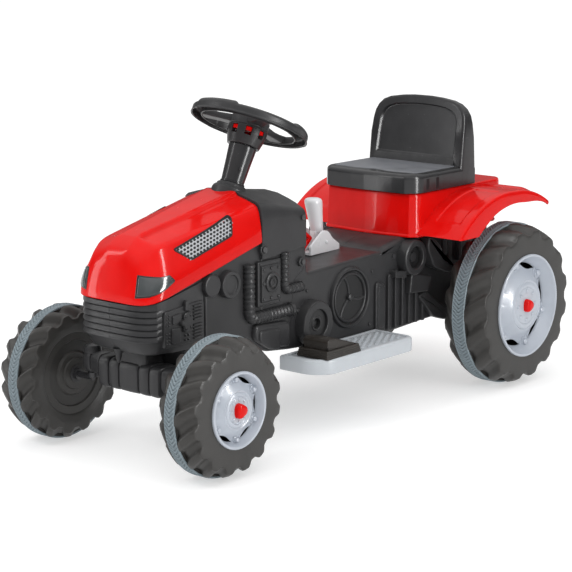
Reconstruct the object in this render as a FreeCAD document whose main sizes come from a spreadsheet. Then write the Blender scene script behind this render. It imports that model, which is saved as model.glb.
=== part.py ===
import FreeCAD, Part
import math
import os
import re
import Sketcher

Vector = FreeCAD.Vector
Rotation = FreeCAD.Rotation
Placement = FreeCAD.Placement

# Ride-on tractor for a small child, battery driven, all sizes in millimetres.
# The frame: front of the tractor towards -Y, its left side +X, up +Z,
# the ground at Z = 0 and the middle of the overall length at Y = 0.

os.makedirs("parts", exist_ok=True)
doc = FreeCAD.newDocument("ride_on_tractor")
sheet = doc.addObject("Spreadsheet::Sheet", "Sizes")

# Driving sizes: name, value, meaning
SIZES = [
    ("wheelbase", 770, "front axle to rear axle"),
    ("half_track", 171, "centre plane to the middle of each tread band"),
    ("front_radius", 110, "front wheel radius"),
    ("rear_radius", 146, "rear wheel radius"),
    ("front_inner", 32, "front band middle to inner side of the wheel"),
    ("front_outer", 41, "front band middle to outer side of the wheel"),
    ("rear_inner", 38, "rear band middle to inner side of the wheel"),
    ("rear_outer", 50, "rear band middle to outer side of the wheel"),
    ("front_band", 20, "width of the front tread band"),
    ("rear_band", 26, "width of the rear tread band"),
    ("front_rim", 60, "front rim cover radius"),
    ("rear_rim", 93, "rear rim cover radius"),
    ("band_depth", 3, "thickness of the tread band"),
    ("lug_depth", 8, "height of the tyre lugs"),
    ("lug_count", 16, "lugs on each side of a tyre"),
    ("tyre_wall", 4, "wall of the blown tyre"),
    ("rim_wall", 2.5, "wall of the rim cover"),
    ("hub_radius", 16, "outside of the wheel hub tube"),
    ("hub_bore", 9, "bush seat in the wheel hub"),
    ("bush_flange", 1.5, "flange thickness of a wheel bush"),
    ("bush_length", 14, "seat length of a wheel bush"),
    ("cap_hole", 7, "hole in the rim for the hub cap"),
    ("axle_radius", 5, "radius of the axle rods"),
    ("run_clear", 0.06, "radial clearance of a running fit"),
    ("fit_clear", 0.1, "clearance of a fixed fit"),
    ("face_gap", 0.5, "gap between faces that move past each other"),
    ("kingpin_x", 100, "centre plane to kingpin"),
    ("arm_length", 45, "kingpin to tie bar pin, and shaft to crank pin"),
    ("arm_pin", 4, "radius of the tie bar pins"),
    ("tie_level", 107, "underside of the tie bar"),
    ("tie_thick", 4, "thickness of the tie bar"),
    ("beam_low", 120, "underside of the front axle beam"),
    ("beam_high", 155, "top of the front axle beam"),
    ("beam_depth", 44, "front axle beam, front to back"),
    ("tilt", 25, "rake of the steering column from upright, degrees"),
    ("steer_y", -138.6, "steering wheel centre, along the tractor"),
    ("steer_z", 494, "steering wheel centre, height of its lower plane"),
    ("wheel_rim", 99, "steering wheel radius"),
    ("wheel_grip", 22, "steering wheel rim, radial width"),
    ("wheel_high", 20, "steering wheel rim height"),
    ("shaft_radius", 6, "steering shaft radius"),
    ("column_foot", 106.6, "wheel plane down to the foot of the column"),
    ("collar_high", 9, "height of the column collar"),
    ("housing_high", 31, "height of the horn housing"),
    ("shaft_reach", 390, "wheel plane down to the crank"),
    ("body_half", 82, "half width of the moulded body"),
    ("body_wall", 4, "wall of the moulded body"),
    ("cheek", 6, "raised side panels of the body"),
    ("nose_front", -459, "front of the nose block behind its ribs"),
    ("nose_rear", -335, "rear of the nose block"),
    ("nose_low", 176, "underside of the nose block"),
    ("rib_pitch", 13, "spacing of the grille ribs"),
    ("rib_high", 8, "height of a grille rib"),
    ("hood_front", -460, "front of the hood"),
    ("hood_rear", -205, "rear edge of the hood"),
    ("hood_low_front", 258, "lower edge of the hood at the front"),
    ("hood_low_rear", 324, "lower edge of the hood at the rear"),
    ("hood_half", 88, "half width of the hood at its lower edge"),
    ("hood_crease", 75, "half width of the hood top at the rear"),
    ("hood_top_rear", 402, "top of the hood at the rear"),
    ("hood_wall", 3, "wall of the hood"),
    ("skin", 1.2, "thickness of lamps and vents laid on the hood"),
    ("dash_rear", -92, "rear face of the dash"),
    ("dash_high", 396.5, "top of the dash at the hood"),
    ("dash_low", 336, "lower edge of the dash cover"),
    ("dash_drop", 28, "fall of the dash top towards the rear"),
    ("tunnel_front", 256, "tunnel top at the dash"),
    ("tunnel_rear", 266, "tunnel top at the seat box"),
    ("box_front", 180, "front of the seat box"),
    ("box_rear", 468, "rear of the seat box"),
    ("box_half", 105, "half width of the seat box"),
    ("box_low", 279, "lower edge of the seat box"),
    ("box_high", 357, "top of the seat box"),
    ("box_wall", 3, "wall of the seat box and fenders"),
    ("fender_out", 195, "outer edge of a fender from the centre plane"),
    ("fender_radius", 205, "outer radius of a fender about the rear axle"),
    ("fender_skirt", 22, "height of the fender edge strip"),
    ("seat_half", 106, "half width of the seat"),
    ("seat_high", 392, "top of the seat pad"),
    ("seat_top", 512, "top of the seat back"),
    ("seat_wall", 4, "wall of the seat shell"),
    ("step_out", 172, "outer edge of a footrest from the centre plane"),
    ("step_front", -157, "front of a footrest"),
    ("step_rear", 98, "rear of a footrest"),
    ("step_low", 105, "underside of a footrest"),
    ("step_high", 130, "tread of a footrest"),
    ("pedal_half", 33, "half width of the pedal housing"),
    ("pedal_x", 135.5, "middle of the pedal from the centre plane"),
    ("pedal_front", -138, "front of the pedal housing"),
    ("pedal_rear", -48, "rear of the pedal housing"),
    ("pedal_high", 13, "height of the pedal housing"),
    ("pedal_pin", 3, "radius of the pedal pin"),
    ("lever_x", -17, "gear lever from the centre plane"),
    ("lever_y", 56, "gear lever pivot along the tractor"),
    ("lever_z", 280, "gear lever pivot height"),
    ("lever_top", 354, "top of the gear lever"),
    ("tooth_module", 1.5, "module of the drive gears"),
    ("wheel_teeth", 48, "teeth of the large gears"),
    ("pinion_teeth", 12, "teeth of the small gears"),
    ("gear_width", 10, "face width of the gears"),
    ("case_depth", 45, "gear case from the body to its outer wall"),
    ("case_wall", 3, "wall of the gear case"),
    ("motor_radius", 18, "motor radius"),
    ("motor_long", 58, "motor length"),
    ("battery_half", 45, "half width of the battery"),
    ("battery_long", 110, "length of the battery"),
    ("battery_high", 90, "height of the battery"),
]

for row, (alias, value, meaning) in enumerate(SIZES, start=1):
    sheet.set("A%d" % row, meaning)
    sheet.set("B%d" % row, str(value))
    sheet.setAlias("B%d" % row, alias)
doc.recompute()
CELLS = {alias for alias, _, _ in SIZES}

# Lengths that follow from the driving sizes
DERIVED = {
    "front_y": "-(wheelbase + rear_radius - front_radius) / 2",
    "rear_y": "front_y + wheelbase",
    "gear_distance": "tooth_module * (wheel_teeth + pinion_teeth) / 2",
    "idler_y": "rear_y - gear_distance",
    "motor_y": "rear_y - 2 * gear_distance",
    "big_gear": "tooth_module * wheel_teeth / 2",
    "hood_slope": "(hood_low_rear - hood_low_front) / (hood_rear - hood_front)",
    "nose_seat": "hood_low_front + (nose_rear - hood_front) * hood_slope",
    "tie_y": "front_y + arm_length",
    "column_head": "housing_high + face_gap",
    "seat_low": "box_high",
    "body_out": "body_half + cheek",
    "stub_end": "half_track + front_outer - 1",
    "rear_end": "half_track + rear_outer - 1",
}


def formula(text):
    """Spells a formula on the size names as a document expression."""
    def swap(match):
        word = match.group(0)
        if word in DERIVED:
            return "(" + formula(DERIVED[word]) + ")"
        if word in CELLS:
            return "Sizes." + word
        return word
    return re.sub(r"[a-z][a-z_]*", swap, str(text))


def num(text):
    """The present value of a formula."""
    return float(sheet.evalExpression(formula(text)))


def points(text):
    """Pairs of formulas, written as 'u, v; u, v; ...'."""
    pairs = []
    for pair in text.split(";"):
        u, v = pair.split(",")
        pairs.append((u.strip(), v.strip()))
    return pairs


ALONG_X = Rotation(Vector(0, 1, 0), 90)
ALONG_Y = Rotation(Vector(1, 0, 0), -90)
UPRIGHT = Rotation()
RAKE = Rotation(Vector(1, 0, 0), -num("tilt"))
SIDE = Rotation(Vector(0, 1, 0), Vector(0, 0, 1), Vector(1, 0, 0), "XYZ")
FRONT = Rotation(Vector(1, 0, 0), Vector(0, 0, 1), Vector(0, -1, 0), "XYZ")


def place(item, at, turn=UPRIGHT):
    """Puts an object at a point given by three formulas."""
    item.Placement = Placement(Vector(), turn)
    for axis, text in zip("xyz", at):
        item.setExpression("Placement.Base." + axis, formula(text))
    return item


def raked(at, along):
    """A point on the steering column: its offset across and its distance up the axis."""
    across, back = at
    lean = "%.9f" % math.sin(math.radians(num("tilt")))
    rise = "%.9f" % math.cos(math.radians(num("tilt")))
    y = "steer_y + (%s) * %s + (%s) * %s" % (along, lean, back, rise)
    z = "steer_z + (%s) * %s - (%s) * %s" % (along, rise, back, lean)
    return (across, y, z)


def solid(kind, name, at, turn, **sizes):
    """A primitive with its sizes bound to the sheet."""
    item = doc.addObject("Part::" + kind, name)
    for prop, text in sizes.items():
        item.setExpression(prop, formula(text))
    return place(item, at, turn)


def box(name, low, high):
    """A block between two corners."""
    spans = ["(%s) - (%s)" % (b, a) for a, b in zip(low, high)]
    return solid("Box", name, low, UPRIGHT, Length=spans[0], Width=spans[1], Height=spans[2])


def rod(name, at, turn, radius, length):
    return solid("Cylinder", name, at, turn, Radius=radius, Height=length)


def cone(name, at, turn, low, high, length):
    return solid("Cone", name, at, turn, Radius1=low, Radius2=high, Height=length)


def draw(sketch, outline):
    """Closed polygon with every corner held by two bound distances."""
    count = len(outline)
    spots = [Vector(num(u), num(v), 0) for u, v in outline]
    for here in range(count):
        sketch.addGeometry(Part.LineSegment(spots[here], spots[(here + 1) % count]))
    for here in range(count):
        sketch.addConstraint(Sketcher.Constraint("Coincident", here, 2, (here + 1) % count, 1))
    for here, (u, v) in enumerate(outline):
        for kind, text, reach in (("DistanceX", u, spots[here].x), ("DistanceY", v, spots[here].y)):
            rule = sketch.addConstraint(Sketcher.Constraint(kind, -1, 1, here, 1, reach))
            sketch.setExpression("Constraints[%d]" % rule, formula(text))
    return sketch


def outline(name, text, at, turn):
    sketch = doc.addObject("Sketcher::SketchObject", name)
    place(sketch, at, turn)
    return draw(sketch, points(text))


def prism(name, text, at, turn, length):
    """A polygon pushed along its own normal."""
    item = doc.addObject("Part::Extrusion", name)
    item.Base = outline(name + "_outline", text, at, turn)
    item.DirMode = "Normal"
    item.Solid = True
    item.setExpression("LengthFwd", formula(length))
    return item


def turned(name, text):
    """A profile of (along X, radius) pairs turned about the X axis."""
    item = doc.addObject("Part::Revolution", name)
    item.Source = outline(name + "_outline", text, ("0", "0", "0"), FRONT)
    item.Axis = Vector(1, 0, 0)
    item.Base = Vector()
    item.Angle = 360
    item.Solid = True
    return item


def cut(name, base, tool):
    item = doc.addObject("Part::Cut", name)
    item.Base = base
    item.Tool = tool
    return item


def fuse(name, pieces):
    item = doc.addObject("Part::MultiFuse", name)
    item.Shapes = pieces
    return item


def common(name, pieces):
    item = doc.addObject("Part::MultiCommon", name)
    item.Shapes = pieces
    return item


def mirrored(name, source):
    """The same piece on the other side of the tractor."""
    item = doc.addObject("Part::Mirroring", name)
    item.Source = source
    item.Normal = Vector(1, 0, 0)
    item.Base = Vector()
    return item


def tube(name, at, turn, outside, bore, length):
    return cut(name, rod(name + "_outside", at, turn, outside, length),
               rod(name + "_bore", at, turn, bore, length))


def shaped(name, shape, at=("0", "0", "0")):
    """A shape worked out from the sheet and then placed."""
    item = doc.addObject("Part::Feature", name)
    item.Shape = shape
    return place(item, at)


class Moulding:
    """A body built up from sketches, pads, pockets and fillets."""

    def __init__(self, name):
        self.name = name
        self.body = doc.addObject("PartDesign::Body", name)
        self.count = 0

    def label(self, kind):
        self.count += 1
        return "%s_%s_%d" % (self.name, kind, self.count)

    def sketch(self, role, text, offset):
        item = self.body.newObject("Sketcher::SketchObject", self.label("sketch"))
        plane = [part for part in self.body.Origin.OriginFeatures if part.Role == role][0]
        item.AttachmentSupport = [(plane, "")]
        item.MapMode = "FlatFace"
        item.setExpression("AttachmentOffset.Base.z", formula(offset))
        return draw(item, points(text))

    def grow(self, kind, role, text, offset, length):
        item = self.body.newObject("PartDesign::" + kind, self.label(kind.lower()))
        item.Profile = self.sketch(role, text, offset)
        item.Type = 0
        item.setExpression("Length", formula(length))
        doc.recompute()
        return item

    def pad(self, role, text, offset, length):
        return self.grow("Pad", role, text, offset, length)

    def pocket(self, role, text, offset, length):
        """Cut from the sketch plane along its normal, checked by the volume it takes away."""
        before = self.body.Shape.Volume
        item = self.grow("Pocket", role, text, offset, length)
        item.Reversed = True
        doc.recompute()
        if self.body.Shape.Volume >= before - 1e-6:
            raise RuntimeError("pocket took nothing from " + self.name)
        return item

    def fillet(self, chooser, radius):
        tip = self.body.Tip
        names = []
        for index, edge in enumerate(tip.Shape.Edges, start=1):
            if chooser(edge):
                names.append("Edge%d" % index)
        item = self.body.newObject("PartDesign::Fillet", self.label("fillet"))
        item.Base = (tip, names)
        item.setExpression("Radius", formula(radius))
        doc.recompute()
        return item

    def shell(self, chooser, wall):
        """Hollows the body, leaving the chosen faces open."""
        tip = self.body.Tip
        names = []
        for index, face in enumerate(tip.Shape.Faces, start=1):
            if chooser(face):
                names.append("Face%d" % index)
        item = self.body.newObject("PartDesign::Thickness", self.label("shell"))
        item.Base = (tip, names)
        item.setExpression("Value", formula(wall))
        item.Reversed = True
        item.Join = 1
        doc.recompute()
        return item


def stands(edge):
    """True for a straight edge along Z."""
    ends = edge.Vertexes
    return len(ends) == 2 and ends[0].Point.sub(ends[1].Point).cross(Vector(0, 0, 1)).Length < 1e-6


def at_x(value):
    """Chooses edges that lie in the plane of one X."""
    def test(edge):
        return all(abs(corner.X - value) < 1e-6 for corner in edge.Vertexes)
    return test


def face_at_x(value):
    def test(face):
        limits = face.BoundBox
        return abs(limits.XMin - value) < 1e-6 and abs(limits.XMax - value) < 1e-6
    return test


NODES = {}


def node(name, item):
    """Keeps a finished piece under the name of its file."""
    item.Label = name
    NODES[name] = item
    return item


# Wheels


def lug_ring(x, radius, turn):
    """Scalloped ring of lug tips and roots around the axle."""
    count = int(num("lug_count"))
    depth = num("lug_depth")
    steps = 4
    spots = []
    for step in range(count * steps):
        angle = 2 * math.pi * step / (count * steps)
        wave = 0.5 + 0.5 * math.cos(count * angle)
        reach = radius - depth * (1 - wave)
        spots.append(Vector(x, reach * math.cos(angle + turn), reach * math.sin(angle + turn)))
    curve = Part.BSplineCurve()
    curve.interpolate(spots, PeriodicFlag=True)
    return Part.Wire(curve.toShape())


def x_rod(x, radius, length):
    return Part.makeCylinder(radius, length, Vector(x, 0, 0), Vector(1, 0, 0))


def tyre_shape(end):
    """Blown tyre: lugs on both sides of the band seat, hollow, open at the outer side."""
    radius = num(end + "_radius")
    inner = num(end + "_inner")
    outer = num(end + "_outer")
    band = num(end + "_band") / 2
    wall = num("tyre_wall")
    opening = num(end + "_rim") - num("rim_wall") - wall / 2
    pitch = 2 * math.pi / num("lug_count")
    seat = radius - num("band_depth") - num("fit_clear")
    drop = num("lug_depth")
    sides = []
    for side, reach in ((1, outer), (-1, inner)):
        rings = [lug_ring(side * band, radius - 1, 0),
                 lug_ring(side * (band + reach) / 2, radius - drop / 2, pitch / 4),
                 lug_ring(side * reach, radius - 1.4 * drop, pitch / 2)]
        sides.append(Part.makeLoft(rings, True, False))
    block = x_rod(-band, seat, 2 * band).fuse(sides)
    hollow = x_rod(wall - inner, radius - 2.4 * drop - wall, inner + outer - 2 * wall)
    block = block.cut([hollow, x_rod(0, opening, 2 * outer)])
    hub_end = outer - num("hub_bore") - num("band_depth")
    hub = x_rod(-inner, num("hub_radius"), inner + hub_end)
    return block.fuse(hub).cut(x_rod(-2 * inner, num("hub_bore"), 4 * outer)).removeSplitter()


def wheel(end):
    """The pieces of one left wheel, built about its own middle and then placed."""
    middle = ("half_track", end + "_y", end + "_radius")
    rim = end + "_rim"
    out = end + "_outer"
    hub_end = "(%s - hub_bore - band_depth)" % out
    pieces = {}
    pieces["tyre"] = shaped(end + "_tyre_blown", tyre_shape(end), middle)

    low = "(-%s_band / 2)" % end
    band = tube(end + "_band_ring", (low, "0", "0"), ALONG_X,
                end + "_radius", "%s_radius - band_depth" % end, end + "_band")
    pieces["band"] = place(band, middle)

    # The rear rim is dished deeper, round a wider dome
    depth, dome, stud, first = {"front": ("7", 0.60, "5", 5.0), "rear": ("17", 0.69, "8", 20.0)}[end]
    floor = "%s - %s" % (out, depth)
    plate = turned(end + "_rim_plate", (
        "{o}, {r}; {o} + 4, {r}; {o} + 4, {r} - 5; {o} - 5, {r} - 9; {f}, {foot} * {r}; {o} - 4, {dome} * {r};"
        "{o} + 3, {brow} * {r}; {o} + 4, 0.36 * {r}; {o} + 4, cap_hole; {o} + 4 - rim_wall, cap_hole;"
        "{o} + 4 - rim_wall, 0.36 * {r} - 1; {o} + 3 - rim_wall, {brow} * {r} - rim_wall;"
        "{o} - 4 - rim_wall, {dome} * {r} - rim_wall; {f} - rim_wall, {foot} * {r}; {o} - 8, {r} - 9;"
        "{o}, {r} - 5.5").format(o=out, r=rim, f=floor, dome=dome, foot=dome + 0.04, brow=dome - 0.06))
    windows = []
    studs = []
    spokes = 6
    for spoke in range(spokes):
        turn = Rotation(Vector(1, 0, 0), first + 360.0 * spoke / spokes)
        slot = prism("%s_rim_window_%d" % (end, spoke),
                     "{low} * {r}, -0.2 * {r}; {r} - 12, -0.27 * {r}; {r} - 12, 0.27 * {r}; {low} * {r}, 0.2 * {r}"
                     .format(r=rim, low=dome + 0.07), ("0", "0", "0"), turn.multiply(SIDE), "2 * " + out)
        windows.append(slot)
        angle = math.radians(first + 360.0 * (spoke + 0.5) / spokes)
        reach = "(0.82 * %s - 4)" % rim
        studs.append(rod("%s_rim_stud_%d" % (end, spoke),
                         (floor + " - 1", "%s * %.6f" % (reach, math.cos(angle)),
                          "%s * %.6f" % (reach, math.sin(angle))), ALONG_X, "3.5", stud))
    bolts = 8
    for bolt in range(bolts):
        angle = 2 * math.pi * bolt / bolts
        studs.append(rod("%s_rim_bolt_%d" % (end, bolt),
                         (out + " + 3", "0.29 * %s * %.6f" % (rim, math.cos(angle)),
                          "0.29 * %s * %.6f" % (rim, math.sin(angle))), ALONG_X, "0.035 * " + rim, "2.5"))
    open_plate = cut(end + "_rim_open", plate, fuse(end + "_rim_windows", windows))
    pieces["rim"] = place(fuse(end + "_rim_cover", [open_plate] + studs), middle)

    lobes = [rod(end + "_cap_plug", (out + " + 4 - rim_wall", "0", "0"), ALONG_X, "cap_hole - fit_clear",
                 "rim_wall + 4"),
             cone(end + "_cap_dome", (out + " + 4", "0", "0"), ALONG_X, "8", "6", "10")]
    for lobe in range(3):
        angle = 2 * math.pi * lobe / 3
        lobes.append(cone("%s_cap_lobe_%d" % (end, lobe),
                          (out + " + 4", "6.5 * %.6f" % math.cos(angle), "6.5 * %.6f" % math.sin(angle)),
                          ALONG_X, "6", "5", "9"))
    pieces["cap"] = place(fuse(end + "_cap_knob", lobes), middle)

    seat = "hub_bore - fit_clear"
    flange = "hub_radius - 2"
    bush_solids = [
        rod(end + "_bush_in", ("-%s_inner" % end, "0", "0"), ALONG_X, seat, "bush_length"),
        rod(end + "_bush_in_flange", ("-%s_inner - bush_flange" % end, "0", "0"), ALONG_X, flange, "bush_flange"),
        rod(end + "_bush_out", (hub_end + " - bush_length", "0", "0"), ALONG_X, seat, "bush_length"),
        rod(end + "_bush_out_flange", (hub_end, "0", "0"), ALONG_X, flange, "bush_flange")]
    bore = rod(end + "_bush_bore", ("-2 * %s_inner" % end, "0", "0"), ALONG_X,
               "axle_radius + run_clear", "4 * " + out)
    pieces["bushes"] = place(cut(end + "_bush_pair", fuse(end + "_bush_solids", bush_solids), bore), middle)

    for kind, item in pieces.items():
        node("%s_%s_left" % (end, kind), item)
        node("%s_%s_right" % (end, kind), mirrored("%s_%s_right" % (end, kind), item))


wheel("front")
wheel("rear")


def axle_nut(name, end):
    """Pressed retaining nut on an axle end, inside the rim cover."""
    start = "half_track + {e}_outer - hub_bore - band_depth + bush_flange + face_gap".format(e=end)
    return tube(name, (start, end + "_y", end + "_radius"), ALONG_X, "hub_bore", "axle_radius + fit_clear", "6")


# Front axle and steering linkage

knuckle = fuse("knuckle_forging", [
    rod("kingpin_rod", ("kingpin_x", "front_y", "front_radius"), UPRIGHT, "axle_radius",
        "beam_high + 6 - front_radius"),
    rod("stub_rod", ("kingpin_x", "front_y", "front_radius"), ALONG_X, "axle_radius", "stub_end - kingpin_x"),
    rod("stub_collar", ("half_track - front_inner - bush_flange - face_gap - 6", "front_y", "front_radius"),
        ALONG_X, "hub_bore", "6"),
    rod("kingpin_foot", ("kingpin_x", "front_y", "tie_level + tie_thick + face_gap"), UPRIGHT, "arm_pin + 5",
        "beam_low - face_gap - tie_level - tie_thick - face_gap"),
    rod("kingpin_clip", ("kingpin_x", "front_y", "beam_high + face_gap"), UPRIGHT, "arm_pin + 5", "3"),
    box("knuckle_arm", ("kingpin_x - arm_pin - 4", "front_y", "tie_level + tie_thick + face_gap"),
        ("kingpin_x + arm_pin + 4", "tie_y", "tie_level + tie_thick + face_gap + 6")),
    rod("knuckle_arm_end", ("kingpin_x", "tie_y", "tie_level + tie_thick + face_gap"), UPRIGHT,
        "arm_pin + 4", "6"),
    rod("knuckle_arm_pin", ("kingpin_x", "tie_y", "tie_level - 4"), UPRIGHT, "arm_pin", "tie_thick + 8")])
node("knuckle_left", knuckle)
node("knuckle_right", mirrored("knuckle_right", knuckle))
nut = axle_nut("front_axle_nut", "front")
node("front_axle_nut_left", nut)
node("front_axle_nut_right", mirrored("front_axle_nut_right", nut))

# The crank pin stays parallel to the column, so the slots leave room for its arc
slot_side = "arm_pin + face_gap + 0.4"
swing = "0.1 * arm_length"
rake_run = "%.6f" % math.tan(math.radians(num("tilt")))
crank = raked(("0", "arm_length"), "-shaft_reach")
crank_y = "%s + (tie_level + tie_thick / 2 - (%s)) * %s" % (crank[1], crank[2], rake_run)
tie_bar = fuse("tie_bar_plate", [
    box("tie_bar_strip", ("-kingpin_x - 14", "tie_y - 15", "tie_level"),
        ("kingpin_x + 14", "tie_y + 13", "tie_level + tie_thick")),
    box("tie_bar_tongue", ("-14", "tie_y", "tie_level"), ("14", crank_y + " + 14", "tie_level + tie_thick"))])
slots = []
for slot_name, slot_x, slot_y in (("left", "kingpin_x", "tie_y"), ("right", "-kingpin_x", "tie_y"),
                                  ("crank", "0", crank_y)):
    slots.append(box("tie_bar_slot_" + slot_name,
                     (slot_x + " - (" + slot_side + ")", slot_y + " - arm_pin - 1.5 - " + swing, "tie_level - 1"),
                     (slot_x + " + " + slot_side, slot_y + " + arm_pin + 1.5", "tie_level + tie_thick + 1")))
node("tie_bar", cut("tie_bar_slotted", tie_bar, fuse("tie_bar_slots", slots)))

beam = Moulding("axle_beam_moulding")
beam.pad("XY_Plane", (
    "-kingpin_x - 14, front_y - 16; -kingpin_x + 12, front_y - 16; -kingpin_x + 24, front_y - beam_depth / 2;"
    "kingpin_x - 24, front_y - beam_depth / 2; kingpin_x - 12, front_y - 16; kingpin_x + 14, front_y - 16;"
    "kingpin_x + 14, front_y + 16; kingpin_x - 12, front_y + 16; kingpin_x - 24, front_y + beam_depth / 2;"
    "-kingpin_x + 24, front_y + beam_depth / 2; -kingpin_x + 12, front_y + 16; -kingpin_x - 14, front_y + 16"),
    "beam_low", "beam_high - beam_low")
beam.fillet(stands, "5")
beam.pad("XY_Plane", ("-38, front_y - 30; 38, front_y - 30; 38, front_y + 30; -38, front_y + 30"),
         "beam_high", "nose_low - beam_high")
beam_bores = fuse("axle_beam_bores", [
    rod("axle_beam_bore_left", ("kingpin_x", "front_y", "beam_low - 1"), UPRIGHT, "axle_radius + run_clear",
        "beam_high - beam_low + 2"),
    rod("axle_beam_bore_right", ("-kingpin_x", "front_y", "beam_low - 1"), UPRIGHT, "axle_radius + run_clear",
        "beam_high - beam_low + 2")])
node("axle_beam", cut("axle_beam_bored", beam.body, beam_bores))

# Steering column, shaft and wheel

node("column_collar", cut("column_collar_turned",
     cone("column_collar_outside", raked(("0", "0"), "-column_foot"), RAKE, "29", "24", "collar_high"),
     rod("column_collar_bore", raked(("0", "0"), "-column_foot - 1"), RAKE, "shaft_radius + run_clear",
         "collar_high + 2")))
node("column_tube", cut("column_tube_turned",
     cone("column_tube_outside", raked(("0", "0"), "-column_foot + collar_high"), RAKE, "18.5", "23.5",
          "column_foot - collar_high - column_head"),
     rod("column_tube_bore", raked(("0", "0"), "-column_foot"), RAKE, "shaft_radius + run_clear", "column_foot")))
node("steering_shaft", fuse("steering_shaft_forging", [
    rod("steering_shaft_rod", raked(("0", "0"), "-shaft_reach - 3"), RAKE, "shaft_radius",
        "shaft_reach + 3 - housing_high + 12"),
    solid("Box", "crank_arm", raked(("-arm_pin - 4", "0"), "-shaft_reach - 3"), RAKE,
          Length="2 * arm_pin + 8", Width="arm_length", Height="6"),
    rod("crank_end", raked(("0", "arm_length"), "-shaft_reach - 3"), RAKE, "arm_pin + 4", "6"),
    rod("crank_hub", raked(("0", "0"), "-shaft_reach - 3"), RAKE, "arm_pin + 6", "10"),
    rod("crank_pin", raked(("0", "arm_length"), "-shaft_reach - 24"), RAKE, "arm_pin", "24")]))

# The horn cap moves along the column with its legs showing in windows of the housing
legs = 8
leg_ring = 27
leg_wide = 9
leg_tall = 12
housing_solids = fuse("horn_housing_solids", [
    cone("horn_housing_cup", raked(("0", "0"), "-housing_high"), RAKE, "27", "33", "housing_high - 10"),
    rod("horn_housing_drum", raked(("0", "0"), "-10"), RAKE, "33", "10")])
housing_cuts = [rod("horn_housing_well", raked(("0", "0"), "-housing_high + 13"), RAKE, "23", "housing_high"),
                rod("horn_housing_seat", raked(("0", "0"), "-housing_high - 1"), RAKE,
                    "shaft_radius + fit_clear", "13.5")]
button_solids = [rod("horn_button_top", raked(("0", "0"), "wheel_high - 6"), RAKE, "22", "8"),
                 tube("horn_button_wall", raked(("0", "0"), "-9"), RAKE, "22", "18", "wheel_high + 3 + 0.5")]
for leg in range(legs):
    spin = Rotation(Vector(0, 0, 1), 360.0 * leg / legs)
    turn = RAKE.multiply(spin)
    corner = spin.multVec(Vector(-leg_wide / 2 - 1, -36, 0))
    window = solid("Box", "horn_window_%d" % leg, raked((corner.x, corner.y), "-16"), turn,
                   Length=leg_wide + 2, Width="16", Height=leg_tall + 2)
    housing_cuts.append(window)
    corner = spin.multVec(Vector(-leg_wide / 2, -leg_ring - 4, 0))
    button_solids.append(solid("Box", "horn_leg_%d" % leg, raked((corner.x, corner.y), "-9"), turn,
                               Length=leg_wide, Width="11", Height="6"))
node("horn_housing", cut("horn_housing_hollow", housing_solids, fuse("horn_housing_cuts", housing_cuts)))
node("horn_button", fuse("horn_button_moulding", button_solids))

rim_profile = ("wheel_rim - wheel_grip, 4; wheel_rim - wheel_grip + 5, 0; wheel_rim - 6, 0; wheel_rim, 6;"
               "wheel_rim, wheel_high - 6; wheel_rim - 6, wheel_high; wheel_rim - wheel_grip + 5, wheel_high;"
               "wheel_rim - wheel_grip, wheel_high - 4")
rim_ring = doc.addObject("Part::Revolution", "wheel_ring")
rim_ring.Source = outline("wheel_ring_outline", rim_profile, ("0", "0", "0"), FRONT)
rim_ring.Axis = Vector(0, 0, 1)
rim_ring.Angle = 360
rim_ring.Solid = True
wheel_solids = [rim_ring, tube("wheel_hub", ("0", "0", "0"), UPRIGHT, "33", "22 + face_gap", "wheel_high - 4")]
for spoke, angle in enumerate((0, 120, 240)):
    spin = Rotation(Vector(0, 0, 1), angle)
    corner = spin.multVec(Vector(-14, 28, 0))
    wheel_solids.append(solid("Box", "wheel_spoke_%d" % spoke, (corner.x, corner.y, "2"), spin,
                              Length="28", Width="wheel_rim - wheel_grip - 28 + 4", Height="wheel_high - 8"))
steering_wheel = fuse("steering_wheel_moulding", wheel_solids)
place(steering_wheel, ("0", "steer_y", "steer_z"), RAKE)
node("steering_wheel", steering_wheel)

# Moulded body in two halves, met at the centre plane

half = Moulding("body_half_moulding")
half.pad("YZ_Plane", (
    "nose_rear, nose_low + 6; -250, nose_low + 2; -192, 141; -130, 134; 140, 116; 250, 121; 425, 124;"
    "440, 150; 440, box_low; box_front - 2, box_low; box_front - 4, tunnel_rear; dash_rear + 6, tunnel_front;"
    "dash_rear + 1, dash_low; hood_rear + face_gap, dash_low; hood_rear + face_gap, hood_low_rear - 0.2;"
    "nose_rear, nose_seat"), "0", "body_half")
half.pad("YZ_Plane", (
    "hood_rear + face_gap, 150; -192, 145; -130, 139; -118, 250; dash_rear, 262; dash_rear, dash_low;"
    "hood_rear + face_gap, dash_low"), "body_half", "cheek")
half.fillet(at_x(num("body_out")), "cheek - 1")
half.pocket("YZ_Plane", (
    "nose_rear + body_wall, nose_low + 6 + body_wall; -250, nose_low + 2 + body_wall; -190, 141 + body_wall;"
    "-130, 134 + body_wall; 140, 116 + body_wall; 250, 121 + body_wall; 423, 124 + body_wall;"
    "440 - body_wall, 151; 440 - body_wall, box_low - body_wall; box_front + 2, box_low - body_wall;"
    "box_front, tunnel_rear - body_wall; dash_rear + 6 - body_wall, tunnel_front - body_wall;"
    "dash_rear - body_wall, dash_low - body_wall; hood_rear + face_gap + body_wall, dash_low - body_wall;"
    "hood_rear + face_gap + body_wall, hood_low_rear - 2 * body_wall; nose_rear + body_wall, nose_seat - body_wall"),
    "0", "body_half - body_wall")


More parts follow.
